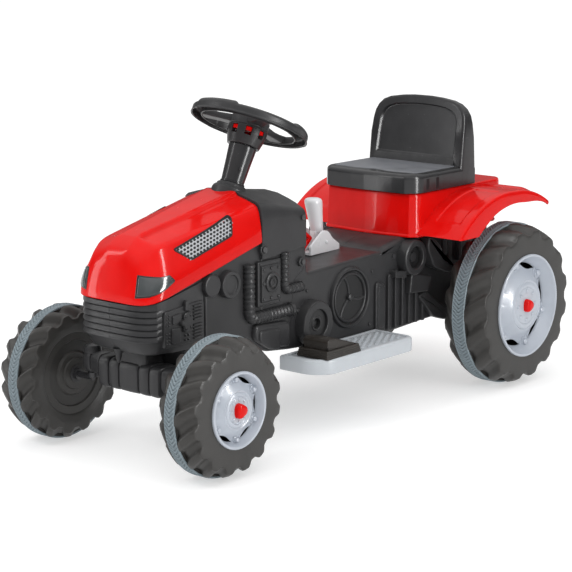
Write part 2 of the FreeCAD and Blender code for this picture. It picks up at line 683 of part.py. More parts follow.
def dash_loft(name, wall, drop):
    """Left half of the crowned dash cover, drawn in by a wall."""
    sketches = []
    stations = (("hood_rear + face_gap", "0"), ("dash_rear", "dash_drop"))
    for index, (y, fall) in enumerate(stations):
        top = "dash_high - %s - (%s)" % (fall, wall)
        side = "body_out - (%s)" % wall
        inset = "(%s) * %d" % (wall, 1 - 2 * index)
        sketch = doc.addObject("Sketcher::SketchObject", "%s_station_%d" % (name, index))
        place(sketch, ("0", "%s + %s" % (y, inset), "0"), FRONT)
        sketches.append(draw(sketch, [
            ("0", "dash_low - (%s)" % drop), (side, "dash_low - (%s)" % drop),
            (side, "(dash_low + %s) / 2 + 4" % top), (side + " - 3", "(dash_low + 3 * (%s)) / 4 + 1" % top),
            (side + " - 14", top + " - 10"), ("46", top + " - 2"), ("0", top)]))
    loft = doc.addObject("Part::Loft", name)
    loft.Sections = sketches
    loft.Solid = True
    loft.Ruled = True
    return loft


dash_cover = cut("dash_cover", dash_loft("dash_outside", "0", "0"), dash_loft("dash_inside", "body_wall", "1"))

nose = Moulding("nose_moulding")
nose.pad("XY_Plane", (
    "0, nose_front; 52, nose_front + 2; body_half - 6, nose_front + 20; body_half, nose_front + 40;"
    "body_half, nose_rear; 0, nose_rear"), "nose_low", "nose_seat - nose_low")
nose.fillet(lambda edge: stands(edge) and edge.Vertexes[0].X > 40 and edge.Vertexes[0].Y < num("nose_rear") - 1, "8")
nose.pocket("YZ_Plane", (
    "hood_front - 20, hood_low_front - 20 * hood_slope; nose_rear + 1, nose_seat + hood_slope;"
    "nose_rear + 1, nose_seat + 20; hood_front - 20, nose_seat + 20"), "-1", "body_half + 20")
nose.shell(face_at_x(0), "body_wall")

rib_rows = []
rib_count = int((num("hood_low_front") - num("nose_low")) // num("rib_pitch"))
inside = prism("grille_core", (
    "-1, nose_front + 1; 52, nose_front + 3; body_half - 7, nose_front + 21; body_half - 1, nose_front + 41;"
    "body_half - 1, nose_rear + 20; -1, nose_rear + 20"), ("0", "0", "nose_low - 10"), UPRIGHT,
    "hood_low_front - nose_low + 20")
for rib in range(rib_count):
    rib_rows.append(prism("grille_rib_%d" % rib, (
        "0, nose_front - 8; 56, nose_front - 5; body_out - 4, nose_front + 16; body_out, nose_front + 38;"
        "body_out, nose_rear + 4; body_half - 2, nose_rear + 4; 0, nose_rear + 4"),
        ("0", "0", "nose_low + 4 + %d * rib_pitch" % rib), UPRIGHT, "rib_high"))
ribs = cut("grille_ribs", fuse("grille_rib_rows", rib_rows), inside)


def hose(name, y, top, bend, low, end):
    """Corrugated hose on the body side: down, round a bend and back along the tractor."""
    x = "body_half + 4"
    bits = [rod(name + "_drop", (x, y, low + " + " + bend), UPRIGHT, "7", "(%s) - (%s) - %s" % (top, low, bend)),
            rod(name + "_run", (x, "(%s) + %s" % (y, bend), low), ALONG_Y, "7", "(%s) - (%s) - %s" % (end, y, bend))]
    elbow = doc.addObject("Part::Torus", name + "_elbow")
    elbow.setExpression("Radius1", formula(bend))
    elbow.Radius2 = 7
    elbow.Angle3 = 90
    place(elbow, (x, "(%s) + %s" % (y, bend), "(%s) + %s" % (low, bend)),
          Rotation(Vector(0, -1, 0), Vector(0, 0, -1), Vector(1, 0, 0), "XYZ"))
    bits.append(elbow)
    rings = 3
    for ring in range(rings):
        bits.append(rod("%s_ring_%d" % (name, ring), (x, y, "(%s) - 6 - %d" % (top, 14 * ring)), UPRIGHT, "9", "6"))
        bits.append(rod("%s_band_%d" % (name, ring), (x, "(%s) - 8 - %d" % (end, 14 * ring), low), ALONG_Y, "9", "6"))
    return bits


def boss(name, y, z, radius, height):
    """Round boss on the body side, rooted in the wall."""
    return cone(name, ("body_half - 2", y, z), ALONG_X, radius, "(%s) - 2" % radius, "(%s) + 2" % height)


details = [ribs]
details += hose("hose_front", "-236", "286", "18", "203", "-136")
details += [boss("filter_cap", "-348", "268", "15", "6"),
            boss("filter_drum", "-300", "272", "22", "7"),
            boss("filter_hub", "-300", "272", "8", "11"),
            boss("pump_drum", "-70", "176", "44", "7"),
            boss("pump_ring", "-70", "176", "32", "10"),
            boss("flywheel", "30", "196", "50", "8"),
            boss("flywheel_rim", "30", "196", "40", "11"),
            boss("flywheel_hub", "30", "196", "16", "15"),
            boss("brake_drum", "203", "240", "24", "9"),
            boss("brake_hub", "203", "240", "10", "14")]
fins = 6
for fin in range(fins):
    details.append(box("gear_fin_%d" % fin, ("body_half - 2", str(130 + 20 * fin), "128"),
                       ("body_half + 5", str(138 + 20 * fin), "236 - %d" % (4 * abs(fin - 2)))))
details.append(prism("brake_lever_near", (
    "200, 252; 214, 262; 262, 246; 300, 212; 296, 202; 284, 206; 252, 232; 214, 244"),
    ("body_half - 2", "0", "0"), SIDE, "12"))
details.append(tube("axle_tube", ("body_half - 2", "rear_y", "rear_radius"), ALONG_X, "16",
                    "axle_radius + fit_clear", "half_track - rear_inner - bush_flange - face_gap - body_half + 2"))
column_seat = common("column_seat_half", [
    rod("column_seat", raked(("0", "0"), "-column_foot - 18"), RAKE, "31", "18"),
    box("left_side", ("0", "-600", "0"), ("600", "600", "600"))])
shaft_way = rod("shaft_way", raked(("0", "0"), "-shaft_reach"), RAKE, "shaft_radius + 2", "shaft_reach")
axle_way = rod("axle_way", ("0", "rear_y", "rear_radius"), ALONG_X, "axle_radius + fit_clear", "300")
lever_way = box("lever_way", ("lever_x - 9", "lever_y - 22", "tunnel_front - 16"),
                ("lever_x + 9", "lever_y + 22", "tunnel_rear + 10"))


def body_side(name, extras, holes):
    whole = fuse(name + "_whole", [half.body, nose.body, dash_cover, column_seat] + extras)
    return cut(name + "_cut", whole, fuse(name + "_holes", holes))


left = body_side("body_left", details, [shaft_way, axle_way])
node("body_left", left)
right_details = [item for item in details if not item.Name.startswith(("axle_tube", "brake_", "gear_fin"))]
motor_way = rod("motor_way", ("0", "motor_y", "rear_radius"), ALONG_X, "10", "300")
right_source = body_side("body_right", right_details, [shaft_way, axle_way, motor_way])
right_whole = mirrored("body_right_mirror", right_source)
node("body_right", cut("body_right_slotted", right_whole, lever_way))

# Hood, lamps and vents


def hood_sections(name, grow, wall, drop):
    """Stations of the hood from front to rear, grown outwards or drawn in by a wall."""
    stations = [("hood_front", "60", "hood_crease - 30", "0", "80", "67"),
                ("hood_front + 14", "hood_half - 8", "hood_crease - 22", "14", "68", "57"),
                ("hood_front + 40", "hood_half - 2", "hood_crease - 15", "40", "58", "46"),
                ("hood_rear", "hood_half", "hood_crease", "hood_rear - hood_front", "17", "0")]
    sketches = []
    for index, (y, wide, crease, run, fall, drop_top) in enumerate(stations):
        ends = {0: " - (%s) + (%s)" % (grow, wall), 3: " + (%s) + (%s)" % (grow, wall)}
        w = "(%s + (%s) - (%s))" % (wide, grow, wall)
        c = "(%s + (%s) - (%s))" % (crease, grow, wall)
        s = "(hood_top_rear - %s + (%s) - (%s))" % (fall, grow, wall)
        t = "(hood_top_rear - %s + (%s) - (%s))" % (drop_top, grow, wall)
        b = "(hood_low_front + (%s) * hood_slope - (%s))" % (run, drop)
        half_line = [(w, b), (w + " - 1", "0.55 * %s + 0.45 * %s" % (b, s)), (c + " + 5", s + " - 8"),
                     (c + " - 4", s), ("36", t + " - 5"), ("29", t)]
        shape = half_line + [("-(%s)" % u, v) for u, v in reversed(half_line)]
        sketch = doc.addObject("Sketcher::SketchObject", "%s_station_%d" % (name, index))
        place(sketch, ("0", y + ends.get(index, ""), "0"), FRONT)
        sketches.append(draw(sketch, shape))
    loft = doc.addObject("Part::Loft", name)
    loft.Sections = sketches
    loft.Solid = True
    loft.Ruled = True
    return loft


hood_outer = hood_sections("hood_outer", "0", "0", "0")
hood_inner = hood_sections("hood_inner", "0", "hood_wall", "20")
hood_skin = hood_sections("hood_skin", "skin", "0", "0")
hood_way = rod("hood_way", raked(("0", "0"), "-column_foot - 60"), RAKE, "31 + face_gap", "80")
node("hood", cut("hood_shell", cut("hood_hollow", hood_outer, hood_inner), hood_way))

lamp_text = ("hood_front - 10, hood_low_front + 7; hood_front + 18, hood_low_front + 11;"
             "hood_front + 46, hood_low_front + 30; hood_front + 10, hood_low_front + 45;"
             "hood_front - 10, hood_low_front + 44")
lamps = fuse("lamp_prisms", [
    prism("lamp_prism_left", lamp_text, ("48", "0", "0"), SIDE, "60"),
    prism("lamp_prism_right", lamp_text, ("-108", "0", "0"), SIDE, "60")])
node("headlights", cut("headlight_skins", common("headlight_block", [hood_skin, lamps]), hood_outer))
vent_text = "-391, 335; -357, 316; -267, 341; -265, 371"
vents = prism("vent_prism", vent_text, ("-200", "0", "0"), SIDE, "400")
node("hood_vents", cut("vent_skins", common("vent_block", [hood_skin, vents]), hood_outer))

# Seat box with fenders, and the seat

seat_box = Moulding("seat_box_moulding")
seat_box.pad("XY_Plane", (
    "-box_half, box_front; box_half, box_front; box_half, box_rear - 20; box_half - 16, box_rear;"
    "16 - box_half, box_rear; -box_half, box_rear - 20"), "box_low", "box_high - box_low")
seat_box.fillet(stands, "10")
seat_box.fillet(lambda edge: all(abs(end.Z - num("box_high")) < 1e-6 for end in edge.Vertexes), "5")
seat_box.shell(lambda face: abs(face.BoundBox.ZMax - num("box_low")) < 1e-6, "box_wall")


def fender():
    """Arched strip over the left rear wheel with a turned-down edge."""
    first = 57
    sweep = 84
    turn = Rotation(Vector(0, 1, 0), Vector(0, 0, 1), Vector(1, 0, 0), "XYZ").multiply(
        Rotation(Vector(0, 0, 1), first))

    def sector(name, x, radius, length):
        item = rod(name, (x, "rear_y", "rear_radius"), turn, radius, length)
        item.Angle = sweep
        return item

    def arch(name, x, outside, depth, length):
        return cut(name, sector(name + "_out", x, outside, length),
                   sector(name + "_in", x, "(%s) - (%s)" % (outside, depth), length))

    top = arch("fender_top", "box_half - box_wall", "fender_radius", "box_wall + 1",
               "fender_out - box_half + box_wall")
    edge = arch("fender_edge", "fender_out - box_wall", "fender_radius", "fender_skirt", "box_wall")
    return fuse("fender_left", [top, edge])


fender_left = fender()
hollow = box("seat_box_hollow", ("box_wall - box_half", "box_front + box_wall", "box_low - 60"),
             ("box_half - box_wall", "box_rear - box_wall", "box_high - box_wall"))
box_whole = fuse("seat_box_whole", [seat_box.body, fender_left, mirrored("fender_right", fender_left)])
node("rear_body", cut("seat_box_clear", box_whole, hollow))

pad = Moulding("seat_pad_moulding")
pad.pad("XY_Plane", (
    "-seat_half, box_front - 2; seat_half, box_front - 2; seat_half, box_front + 186; -seat_half, box_front + 186"),
    "seat_low", "seat_high - seat_low")
pad.fillet(lambda edge: stands(edge) and edge.Vertexes[0].Y < num("box_front"), "20")
pad.fillet(lambda edge: all(abs(end.Z - num("seat_high")) < 1e-6 for end in edge.Vertexes), "8")
back_side = prism("seat_back_side", (
    "315, seat_low; 315, seat_high + 6; 333, seat_top - 26; 339, seat_top; 347, seat_top; 356, seat_top - 26;"
    "364, seat_high + 6; 366, seat_low"), ("-200", "0", "0"), SIDE, "400")
back_face = prism("seat_back_face", (
    "-seat_half, seat_low; seat_half, seat_low; seat_half, seat_top - 70; seat_half - 4, seat_top - 34;"
    "seat_half - 16, seat_top - 16; seat_half - 46, seat_top - 3; 20, seat_top; -20, seat_top;"
    "46 - seat_half, seat_top - 3; 16 - seat_half, seat_top - 16; 4 - seat_half, seat_top - 34;"
    "-seat_half, seat_top - 70"), ("0", "500", "0"), FRONT, "400")
seat_back = common("seat_back", [back_side, back_face])
seat_hollow = fuse("seat_hollow", [
    box("seat_hollow_pad", ("seat_wall + 10 - seat_half", "box_front + 12", "seat_low - 1"),
        ("seat_half - seat_wall - 10", "356", "seat_high - seat_wall")),
    prism("seat_hollow_back", (
        "324, seat_low - 1; 324, seat_high; 339, seat_top - 30; 348, seat_top - 30; 356, seat_high; 357, seat_low - 1"),
        ("14 - seat_half", "0", "0"), SIDE, "2 * seat_half - 28")])
node("seat", cut("seat_shell", fuse("seat_whole", [pad.body, seat_back]), seat_hollow))

# Footrests and the drive pedal

step = Moulding("footrest_moulding")
step.pad("XY_Plane", (
    "body_half, step_front; step_out - 28, step_front; step_out, step_front + 24; step_out, step_rear - 26;"
    "step_out - 18, step_rear - 4; body_half, step_rear"), "step_low", "step_high - step_low")
step.fillet(lambda edge: stands(edge) and edge.Vertexes[0].X > num("body_half") + 1, "12")
step.fillet(lambda edge: all(abs(end.Z - num("step_high")) < 1e-6 for end in edge.Vertexes)
            and edge.BoundBox.XMax > num("body_half") + 0.1, "2.5")
step.pocket("XY_Plane", (
    "body_half + 5, step_front + 8; step_out - 32, step_front + 8; step_out - 6, step_front + 30;"
    "step_out - 6, step_rear - 32; step_out - 24, step_rear - 12; body_half + 5, step_rear - 8"),
    "step_low", "step_high - step_low - 4")
tread_rows = 5
tread_columns = 4
studs = []
for line in range(tread_rows):
    for spot in range(tread_columns):
        x = "body_half + 14 + %d * (step_out - body_half - 24) / %d" % (spot, tread_columns - 1)
        y = "pedal_rear + 22 + %d * (step_rear - pedal_rear - 44) / %d" % (line, tread_rows - 1)
        slant = Rotation(Vector(0, 0, 1), 45 if (line + spot) % 2 else -45)
        corner = slant.multVec(Vector(-7, -1.75, 0))
        studs.append(solid("Box", "tread_%d_%d" % (line, spot),
                           ("%s + %.4f" % (x, corner.x), "%s + %.4f" % (y, corner.y), "step_high - 1"), slant,
                           Length="14", Width="3.5", Height="2.2"))
footrest = fuse("footrest_tread", [step.body] + studs)
node("footrest_left", footrest)
node("footrest_right", mirrored("footrest_right", footrest))

housing = Moulding("pedal_housing_moulding")
housing.pad("XY_Plane", (
    "pedal_x - pedal_half, pedal_front; pedal_x + pedal_half, pedal_front; pedal_x + pedal_half, pedal_rear;"
    "pedal_x - pedal_half, pedal_rear"), "step_high", "pedal_high")
housing.fillet(stands, "6")
housing.pocket("XY_Plane", (
    "pedal_x - pedal_half + 6, pedal_front + 7; pedal_x + pedal_half - 6, pedal_front + 7;"
    "pedal_x + pedal_half - 6, pedal_rear - 7; pedal_x - pedal_half + 6, pedal_rear - 7"),
    "step_high + 2", "pedal_high")
pin_y = "pedal_rear - 12"
pin_z = "step_high + pedal_high - 5"
node("pedal_housing", cut("pedal_housing_bored", housing.body,
     rod("pedal_pin_bore", ("pedal_x - pedal_half + 2", pin_y, pin_z), ALONG_X, "pedal_pin + run_clear",
         "2 * pedal_half - 4")))
node("pedal", fuse("pedal_moulding", [
    prism("pedal_wedge", (
        "pedal_front + 9, step_high + 17; pedal_front + 9, step_high + 27; pedal_front + 15, step_high + 31;"
        "pedal_front + 34, step_high + 29; pedal_rear - 11, step_high + 14; pedal_rear - 8.5, step_high + 11;"
        "pedal_rear - 8.5, step_high + 7; pedal_rear - 13, step_high + 4.5; pedal_rear - 16, step_high + 4.5"),
        ("pedal_x - pedal_half + 7", "0", "0"), SIDE, "2 * pedal_half - 14"),
    rod("pedal_pin_rod", ("pedal_x - pedal_half + 2.5", pin_y, pin_z), ALONG_X, "pedal_pin",
        "2 * pedal_half - 5")]))
node("pedal_switch", box("pedal_switch_case", ("pedal_x - 8", "pedal_front + 20", "step_high + 2"),
                         ("pedal_x + 8", "pedal_front + 40", "step_high + 5")))

# Gear lever on the tunnel

bracket_base = "tunnel_front + (lever_y + 30 - dash_rear - 6) * (tunnel_rear - tunnel_front) / (box_front - dash_rear - 10)"
cheek_text = ("lever_y - 40, {b} - 2; lever_y + 36, {b} + 1; lever_y + 36, {b} + 8; lever_y + 16, lever_z + 16;"
              "lever_y - 6, lever_z + 17; lever_y - 20, {b} + 12; lever_y - 40, {b} + 8").format(b=bracket_base)
bracket = fuse("shift_bracket_solids", [
    prism("shift_cheek_near", cheek_text, ("lever_x + 20", "0", "0"), SIDE, "5"),
    prism("shift_cheek_far", cheek_text, ("lever_x - 25", "0", "0"), SIDE, "5"),
    prism("shift_floor", ("lever_y - 40, {b} - 2; lever_y + 36, {b} + 1; lever_y + 36, {b} + 4; lever_y - 40, {b} + 1")
          .format(b=bracket_base), ("lever_x - 25", "0", "0"), SIDE, "50")])
bracket_cuts = fuse("shift_bracket_cuts", [
    box("shift_slot", ("lever_x - 9", "lever_y - 22", "lever_z - 40"), ("lever_x + 9", "lever_y + 22", "lever_z - 6")),
    rod("shift_pin_bore", ("lever_x - 40", "lever_y", "lever_z"), ALONG_X, "pedal_pin + run_clear", "80"),
    prism("tunnel_top", (
        "-200, 200; 240, 200; 240, tunnel_rear + (240 - box_front + 4) * (tunnel_rear - tunnel_front)"
        " / (box_front - dash_rear - 10); -200, tunnel_front + (-200 - dash_rear - 6) * (tunnel_rear - tunnel_front)"
        " / (box_front - dash_rear - 10)"), ("-150", "0", "0"), SIDE, "300")])
node("shift_bracket", cut("shift_bracket_bored", bracket, bracket_cuts))
node("gear_lever", fuse("gear_lever_moulding", [
    cone("lever_handle", ("lever_x", "lever_y", "lever_z + 13"), UPRIGHT, "10", "14", "lever_top - lever_z - 19"),
    cone("lever_knob", ("lever_x", "lever_y", "lever_top - 6"), UPRIGHT, "14", "9", "6"),
    box("lever_stem", ("lever_x - 7", "lever_y - 8", "lever_z - 10"), ("lever_x + 7", "lever_y + 8", "lever_z + 16")),
    box("lever_tail", ("lever_x - 5", "lever_y - 4", "lever_z - 26"), ("lever_x + 5", "lever_y + 4", "lever_z - 8")),
    rod("lever_pin", ("lever_x - 28", "lever_y", "lever_z"), ALONG_X, "pedal_pin", "56")]))
node("shift_latch", prism("shift_latch_strip", (
    "lever_y - 41, {b} - 1.5; lever_y - 41, lever_z + 2; lever_y - 34, lever_z + 14; lever_y - 31, lever_z + 13;"
    "lever_y - 36, lever_z + 2; lever_y - 36, {b} + 9; lever_y - 40, {b} + 9; lever_y - 40, {b} - 1.4")
    .format(b=bracket_base), ("lever_x - 6", "0", "0"), SIDE, "14"))
switch_top = ("tunnel_front - body_wall + (lever_y - 22 - dash_rear - 6) * (tunnel_rear - tunnel_front)"
              " / (box_front - dash_rear - 10)")
node("drive_switch", cut("drive_switch_slotted",
     box("drive_switch_case", ("lever_x - 14", "lever_y - 22", "tunnel_front - 31"),
         ("lever_x + 14", "lever_y + 22", switch_top)),
     box("drive_switch_slot", ("lever_x - 7", "lever_y - 15", "lever_z - 32"),
         ("lever_x + 7", "lever_y + 15", "lever_z"))))

# Rear axle and the drive train on the right

node("rear_axle", rod("rear_axle_rod", ("-rear_end", "rear_y", "rear_radius"), ALONG_X, "axle_radius", "2 * rear_end"))
rear_nut = axle_nut("rear_axle_nut", "rear")
node("rear_axle_nuts", fuse("rear_axle_nut_pair", [rear_nut, mirrored("rear_axle_nut_right", rear_nut)]))


def gear_shape(teeth, x, turn):
    """Spur gear about the X axis with straight-flanked teeth and free backlash."""
    module = num("tooth_module")
    pitch = module * teeth / 2
    root = pitch - 1.15 * module
    tip = pitch + 0.75 * module
    step = 2 * math.pi / teeth
    corners = []
    for tooth in range(teeth):
        middle = tooth * step + turn
        for reach, offset in ((root, -0.30), (pitch, -0.19), (tip, -0.08), (tip, 0.08), (pitch, 0.19), (root, 0.30)):
            angle = middle + offset * step
            corners.append(Vector(x, reach * math.cos(angle), reach * math.sin(angle)))
    corners.append(corners[0])
    return Part.Face(Part.makePolygon(corners)).extrude(Vector(num("gear_width"), 0, 0))


big = int(num("wheel_teeth"))
small = int(num("pinion_teeth"))
case_out = num("body_half") + num("case_depth")
gear_x = -(case_out - num("case_wall") - 1.5)
second_x = gear_x + num("gear_width") + 3
rear_at = ("0", "rear_y", "rear_radius")
idler_at = ("0", "idler_y", "rear_radius")
motor_at = ("0", "motor_y", "rear_radius")
bore = num("axle_radius") + num("run_clear")

# A tooth of each driven gear meets a space of its driver on the line of centres
ring_inside = num("hub_radius")
ring_outside = ring_inside + 8
wheel_face = -(num("half_track") - num("rear_inner"))
dog = x_rod(wheel_face, ring_outside, gear_x - wheel_face + 1)
dog = dog.cut(x_rod(wheel_face - 1, ring_inside, gear_x - wheel_face + 1))
output = gear_shape(big, gear_x, math.pi).fuse(dog).cut(x_rod(gear_x - 50, bore, 100))
node("output_gear", shaped("output_gear_moulding", output, rear_at))
pin_radius = num("axle_radius") - 1
idler = gear_shape(small, gear_x, math.pi / small).fuse(gear_shape(big, second_x, math.pi))
idler = idler.fuse(x_rod(gear_x, num("tooth_module") * small / 2 - 2, 2 * num("gear_width") + 3))
idler = idler.cut(x_rod(gear_x - 50, pin_radius + num("run_clear"), 100)).removeSplitter()
node("idler_gear", shaped("idler_gear_moulding", idler, idler_at))
shaft = x_rod(second_x, 3, -num("body_half") + num("body_wall") - second_x)
pinion = gear_shape(small, second_x, math.pi / small).fuse(shaft)
node("motor_pinion", shaped("motor_pinion_moulding", pinion, motor_at))


def case_block(name, start, length, shrink):
    """Outline of the gear case round the three gears, drawn in by a wall."""
    large = "big_gear + 2 * tooth_module + case_wall + 1 - (%s)" % shrink
    little = "motor_radius + 2 - (%s)" % shrink
    return fuse(name, [
        rod(name + "_rear", (start, "rear_y", "rear_radius"), ALONG_X, large, length),
        rod(name + "_idler", (start, "idler_y", "rear_radius"), ALONG_X, large, length),
        rod(name + "_front", (start, "motor_y", "rear_radius"), ALONG_X, little, length),
        box(name + "_span", (start, "idler_y", "rear_radius - (%s)" % large),
            ("(%s) + (%s)" % (start, length), "rear_y", "rear_radius + " + large)),
        box(name + "_neck", (start, "motor_y", "rear_radius - (%s)" % little),
            ("(%s) + (%s)" % (start, length), "idler_y", "rear_radius + " + little))])


split = "case_depth - gear_width - 6"
case_solid = case_block("case_outside", "-body_half - (%s)" % split, split, "0")
case_hollow = case_block("case_inside", "-body_half - case_depth", "case_depth - case_wall", "case_wall")
case_cut = cut("case_hollowed", case_solid, case_hollow)
case_pin = rod("idler_spindle", ("-body_half - case_depth + case_wall + 0.4", "idler_y", "rear_radius"), ALONG_X,
               "axle_radius - 1", "case_depth - case_wall - 0.4")
case_ways = fuse("case_ways", [
    rod("case_axle_way", ("-body_half - 100", "rear_y", "rear_radius"), ALONG_X, "axle_radius + fit_clear", "200"),
    rod("case_motor_way", ("-body_half - 100", "motor_y", "rear_radius"), ALONG_X, "3.5", "200")])
node("gearbox_case", cut("gearbox_case_bored", fuse("gearbox_case_whole", [case_cut, case_pin]), case_ways))
cover_solid = case_block("cover_outside", "-body_half - case_depth", "gear_width + 6", "0")
cover_hollow = case_block("cover_inside", "-body_half - case_depth + case_wall", "case_depth", "case_wall")
cover_way = rod("cover_way", ("-body_half - 100", "rear_y", "rear_radius"), ALONG_X, "hub_radius + 9", "100")
node("gearbox_cover", cut("gearbox_cover_open", cut("gearbox_cover_hollow", cover_solid, cover_hollow), cover_way))
motor_case = rod("motor_can", ("body_wall - body_half", "motor_y", "rear_radius"), ALONG_X, "motor_radius",
                 "motor_long")
node("motor", fuse("motor_body", [
    motor_case,
    rod("motor_nose", ("body_wall - body_half + motor_long", "motor_y", "rear_radius"), ALONG_X,
        "motor_radius / 2", "5")]))

cell = Moulding("battery_moulding")
floor_z = "134 - 18 * (30 + 130) / 270 + body_wall + fit_clear"
cell.pad("XY_Plane", (
    "-battery_half, 30; battery_half, 30; battery_half, 30 + battery_long; -battery_half, 30 + battery_long"),
    floor_z, "battery_high")
cell.fillet(stands, "4")
node("battery", cell.body)

# Screws that hold the halves, the footrests and the seat box
screws = []
for index, (y, z) in enumerate((("-201", "312"), ("-104", "352"), ("-104", "278"), ("150", "250"),
                                ("400", "250"), ("426", "214"), ("120", "136"))):
    x = "body_out" if index < 3 else "body_half"
    for side in ("", "-"):
        start = x if side == "" else "-(%s) - 2.5" % x
        screws.append(rod("screw_%d%s" % (index, "_right" if side else "_left"), (start, y, z), ALONG_X, "4.5", "2.5"))
node("body_screws", fuse("body_screw_set", screws))

# Check every object, then write one file for each node

doc.recompute()
for item in doc.Objects:
    if "Invalid" in item.State or "Error" in item.State:
        raise RuntimeError("object failed: " + item.Name)
for name, item in NODES.items():
    shape = item.Shape
    if shape.isNull() or not shape.isValid() or not shape.Solids:
        raise RuntimeError("shape failed: " + name)
    shape.exportStep("parts/%s.step" % name)
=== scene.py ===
import math

import bmesh
import bpy
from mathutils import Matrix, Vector
from mathutils.bvhtree import BVHTree


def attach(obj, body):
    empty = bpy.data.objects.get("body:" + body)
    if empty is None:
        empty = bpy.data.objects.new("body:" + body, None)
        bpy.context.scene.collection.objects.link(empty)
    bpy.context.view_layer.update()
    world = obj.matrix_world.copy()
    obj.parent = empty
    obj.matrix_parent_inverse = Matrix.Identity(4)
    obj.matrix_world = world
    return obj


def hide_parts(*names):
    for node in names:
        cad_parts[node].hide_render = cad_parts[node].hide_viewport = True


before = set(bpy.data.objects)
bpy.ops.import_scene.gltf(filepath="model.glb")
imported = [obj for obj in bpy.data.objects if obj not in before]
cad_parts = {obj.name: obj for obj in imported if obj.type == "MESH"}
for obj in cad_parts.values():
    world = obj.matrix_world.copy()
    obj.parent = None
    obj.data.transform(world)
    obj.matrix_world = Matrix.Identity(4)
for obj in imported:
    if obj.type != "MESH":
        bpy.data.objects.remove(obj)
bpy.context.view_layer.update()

# Lengths below are in millimetres, front of the tractor towards -Y, its left side +X, up +Z
MM = 0.001
SIDES = (("left", 1), ("right", -1))

# Finishes

FACTOR, FIRST, SECOND, RESULT = 0, 6, 7, 2


def step(tree, kind, feeds, **settings):
    """One shader node with its settings and what feeds its sockets."""
    item = tree.nodes.new("ShaderNode" + kind)
    for name, value in settings.items():
        setattr(item, name, value)
    for socket, source in feeds.items():
        if isinstance(source, bpy.types.NodeSocket):
            tree.links.new(source, item.inputs[socket])
        else:
            item.inputs[socket].default_value = source
    return item


def effect(name, inputs, outputs):
    """An empty shared effect with named inputs and outputs, and the place on the piece that it reads."""
    tree = bpy.data.node_groups.new(name, "ShaderNodeTree")
    for label, value in inputs:
        socket = tree.interface.new_socket(name=label, in_out="INPUT", socket_type="NodeSocketFloat")
        socket.default_value = value
    for label in outputs:
        tree.interface.new_socket(name=label, in_out="OUTPUT", socket_type="NodeSocketFloat")
    where = step(tree, "TexCoord", {}).outputs["Object"]
    return tree, tree.nodes.new("NodeGroupInput").outputs, tree.nodes.new("NodeGroupOutput").inputs, where


def between(tree, source, low, high, to_low=0.0, to_high=1.0):
    """A value spread from one range to another, held at its ends."""
    feeds = {"Value": source, "From Min": low, "From Max": high, "To Min": to_low, "To Max": to_high}
    return step(tree, "MapRange", feeds).outputs["Result"]


def sums(tree, operation, first, second):
    """Two values added, multiplied or compared."""
    return step(tree, "Math", {0: first, 1: second}, operation=operation).outputs[0]


def noise(tree, where, scale, detail):
    """Cloudy values at a scale."""
    return step(tree, "TexNoise", {"Vector": where, "Scale": scale, "Detail": detail}).outputs[0]


def blend(tree, share, first, second):
    """Two colours mixed by a share."""
    return step(tree, "Mix", {FACTOR: share, FIRST: first, SECOND: second}, data_type="RGBA").outputs[RESULT]


def moulded_grain():
    """Fine mould texture, slow waviness of the wall and patches of tone."""
    tree, given, made, where = effect("moulded_grain", [("Scale", 1500.0), ("Patch", 30.0)],
                                      ["Grain", "Swell", "Mottle"])
    pits = step(tree, "TexVoronoi", {"Vector": where, "Scale": given["Scale"]}).outputs["Distance"]
    tree.links.new(sums(tree, "ADD", pits, noise(tree, where, given["Scale"], 3.0)), made["Grain"])
    tree.links.new(noise(tree, where, 14.0, 1.0), made["Swell"])
    tree.links.new(between(tree, noise(tree, where, given["Patch"], 5.0), 0.3, 0.7), made["Mottle"])
    return tree


def edge_wear_and_painted_light():
    """Corners made paler, partly rubbed wear and partly a painted highlight, and painted shade that keeps
    creases dark.
    """
    tree, given, made, where = effect("edge_wear_and_painted_light", [("Sharpness", 0.56)], ["Rubbed", "PaintedCreaseShade"])
    corner = step(tree, "NewGeometry", {}).outputs["Pointiness"]
    edge = between(tree, corner, given["Sharpness"], sums(tree, "ADD", given["Sharpness"], 0.1))
    patchy = between(tree, noise(tree, where, 90.0, 4.0), 0.35, 0.65)
    # paler corners: rubbed wear and a painted edge highlight
    tree.links.new(sums(tree, "MULTIPLY", edge, patchy), made["Rubbed"])
    # painted shade: the colour darkens where the surface folds inwards
    tree.links.new(between(tree, corner, 0.49, 0.42), made["PaintedCreaseShade"])
    return tree


def settled_dust():
    """A faint film on faces that look up."""
    tree, given, made, where = effect("settled_dust", [("Scale", 45.0)], ["Film"])
    normal = step(tree, "NewGeometry", {}).outputs["Normal"]
    rise = between(tree, step(tree, "SeparateXYZ", {0: normal}).outputs["Z"], 0.3, 1.0)
    cloud = between(tree, noise(tree, where, given["Scale"], 6.0), 0.4, 0.75)
    tree.links.new(sums(tree, "MULTIPLY", rise, cloud), made["Film"])
    return tree


def hair_scratches():
    """Fine scratches that run along the tractor."""
    tree, given, made, where = effect("hair_scratches", [("Scale", 260.0)], ["Scratch"])
    drawn = step(tree, "Mapping", {"Vector": where, "Scale": (1.0, 0.06, 1.0), "Rotation": (0.2, 0.1, 0.4)})
    lines = noise(tree, drawn.outputs[0], given["Scale"], 2.0)
    tree.links.new(between(tree, lines, 0.62, 0.74), made["Scratch"])
    return tree


GRAIN, EDGES, DUST, SCRATCHES = moulded_grain(), edge_wear_and_painted_light(), settled_dust(), hair_scratches()
DUST_COLOUR = (0.62, 0.6, 0.57, 1)


def shared(tree, source, **values):
    """The outputs of a shared effect, set for one finish."""
    item = tree.nodes.new("ShaderNodeGroup")
    item.node_tree = source
    for name, value in values.items():
        item.inputs[name].default_value = value
    return item.outputs
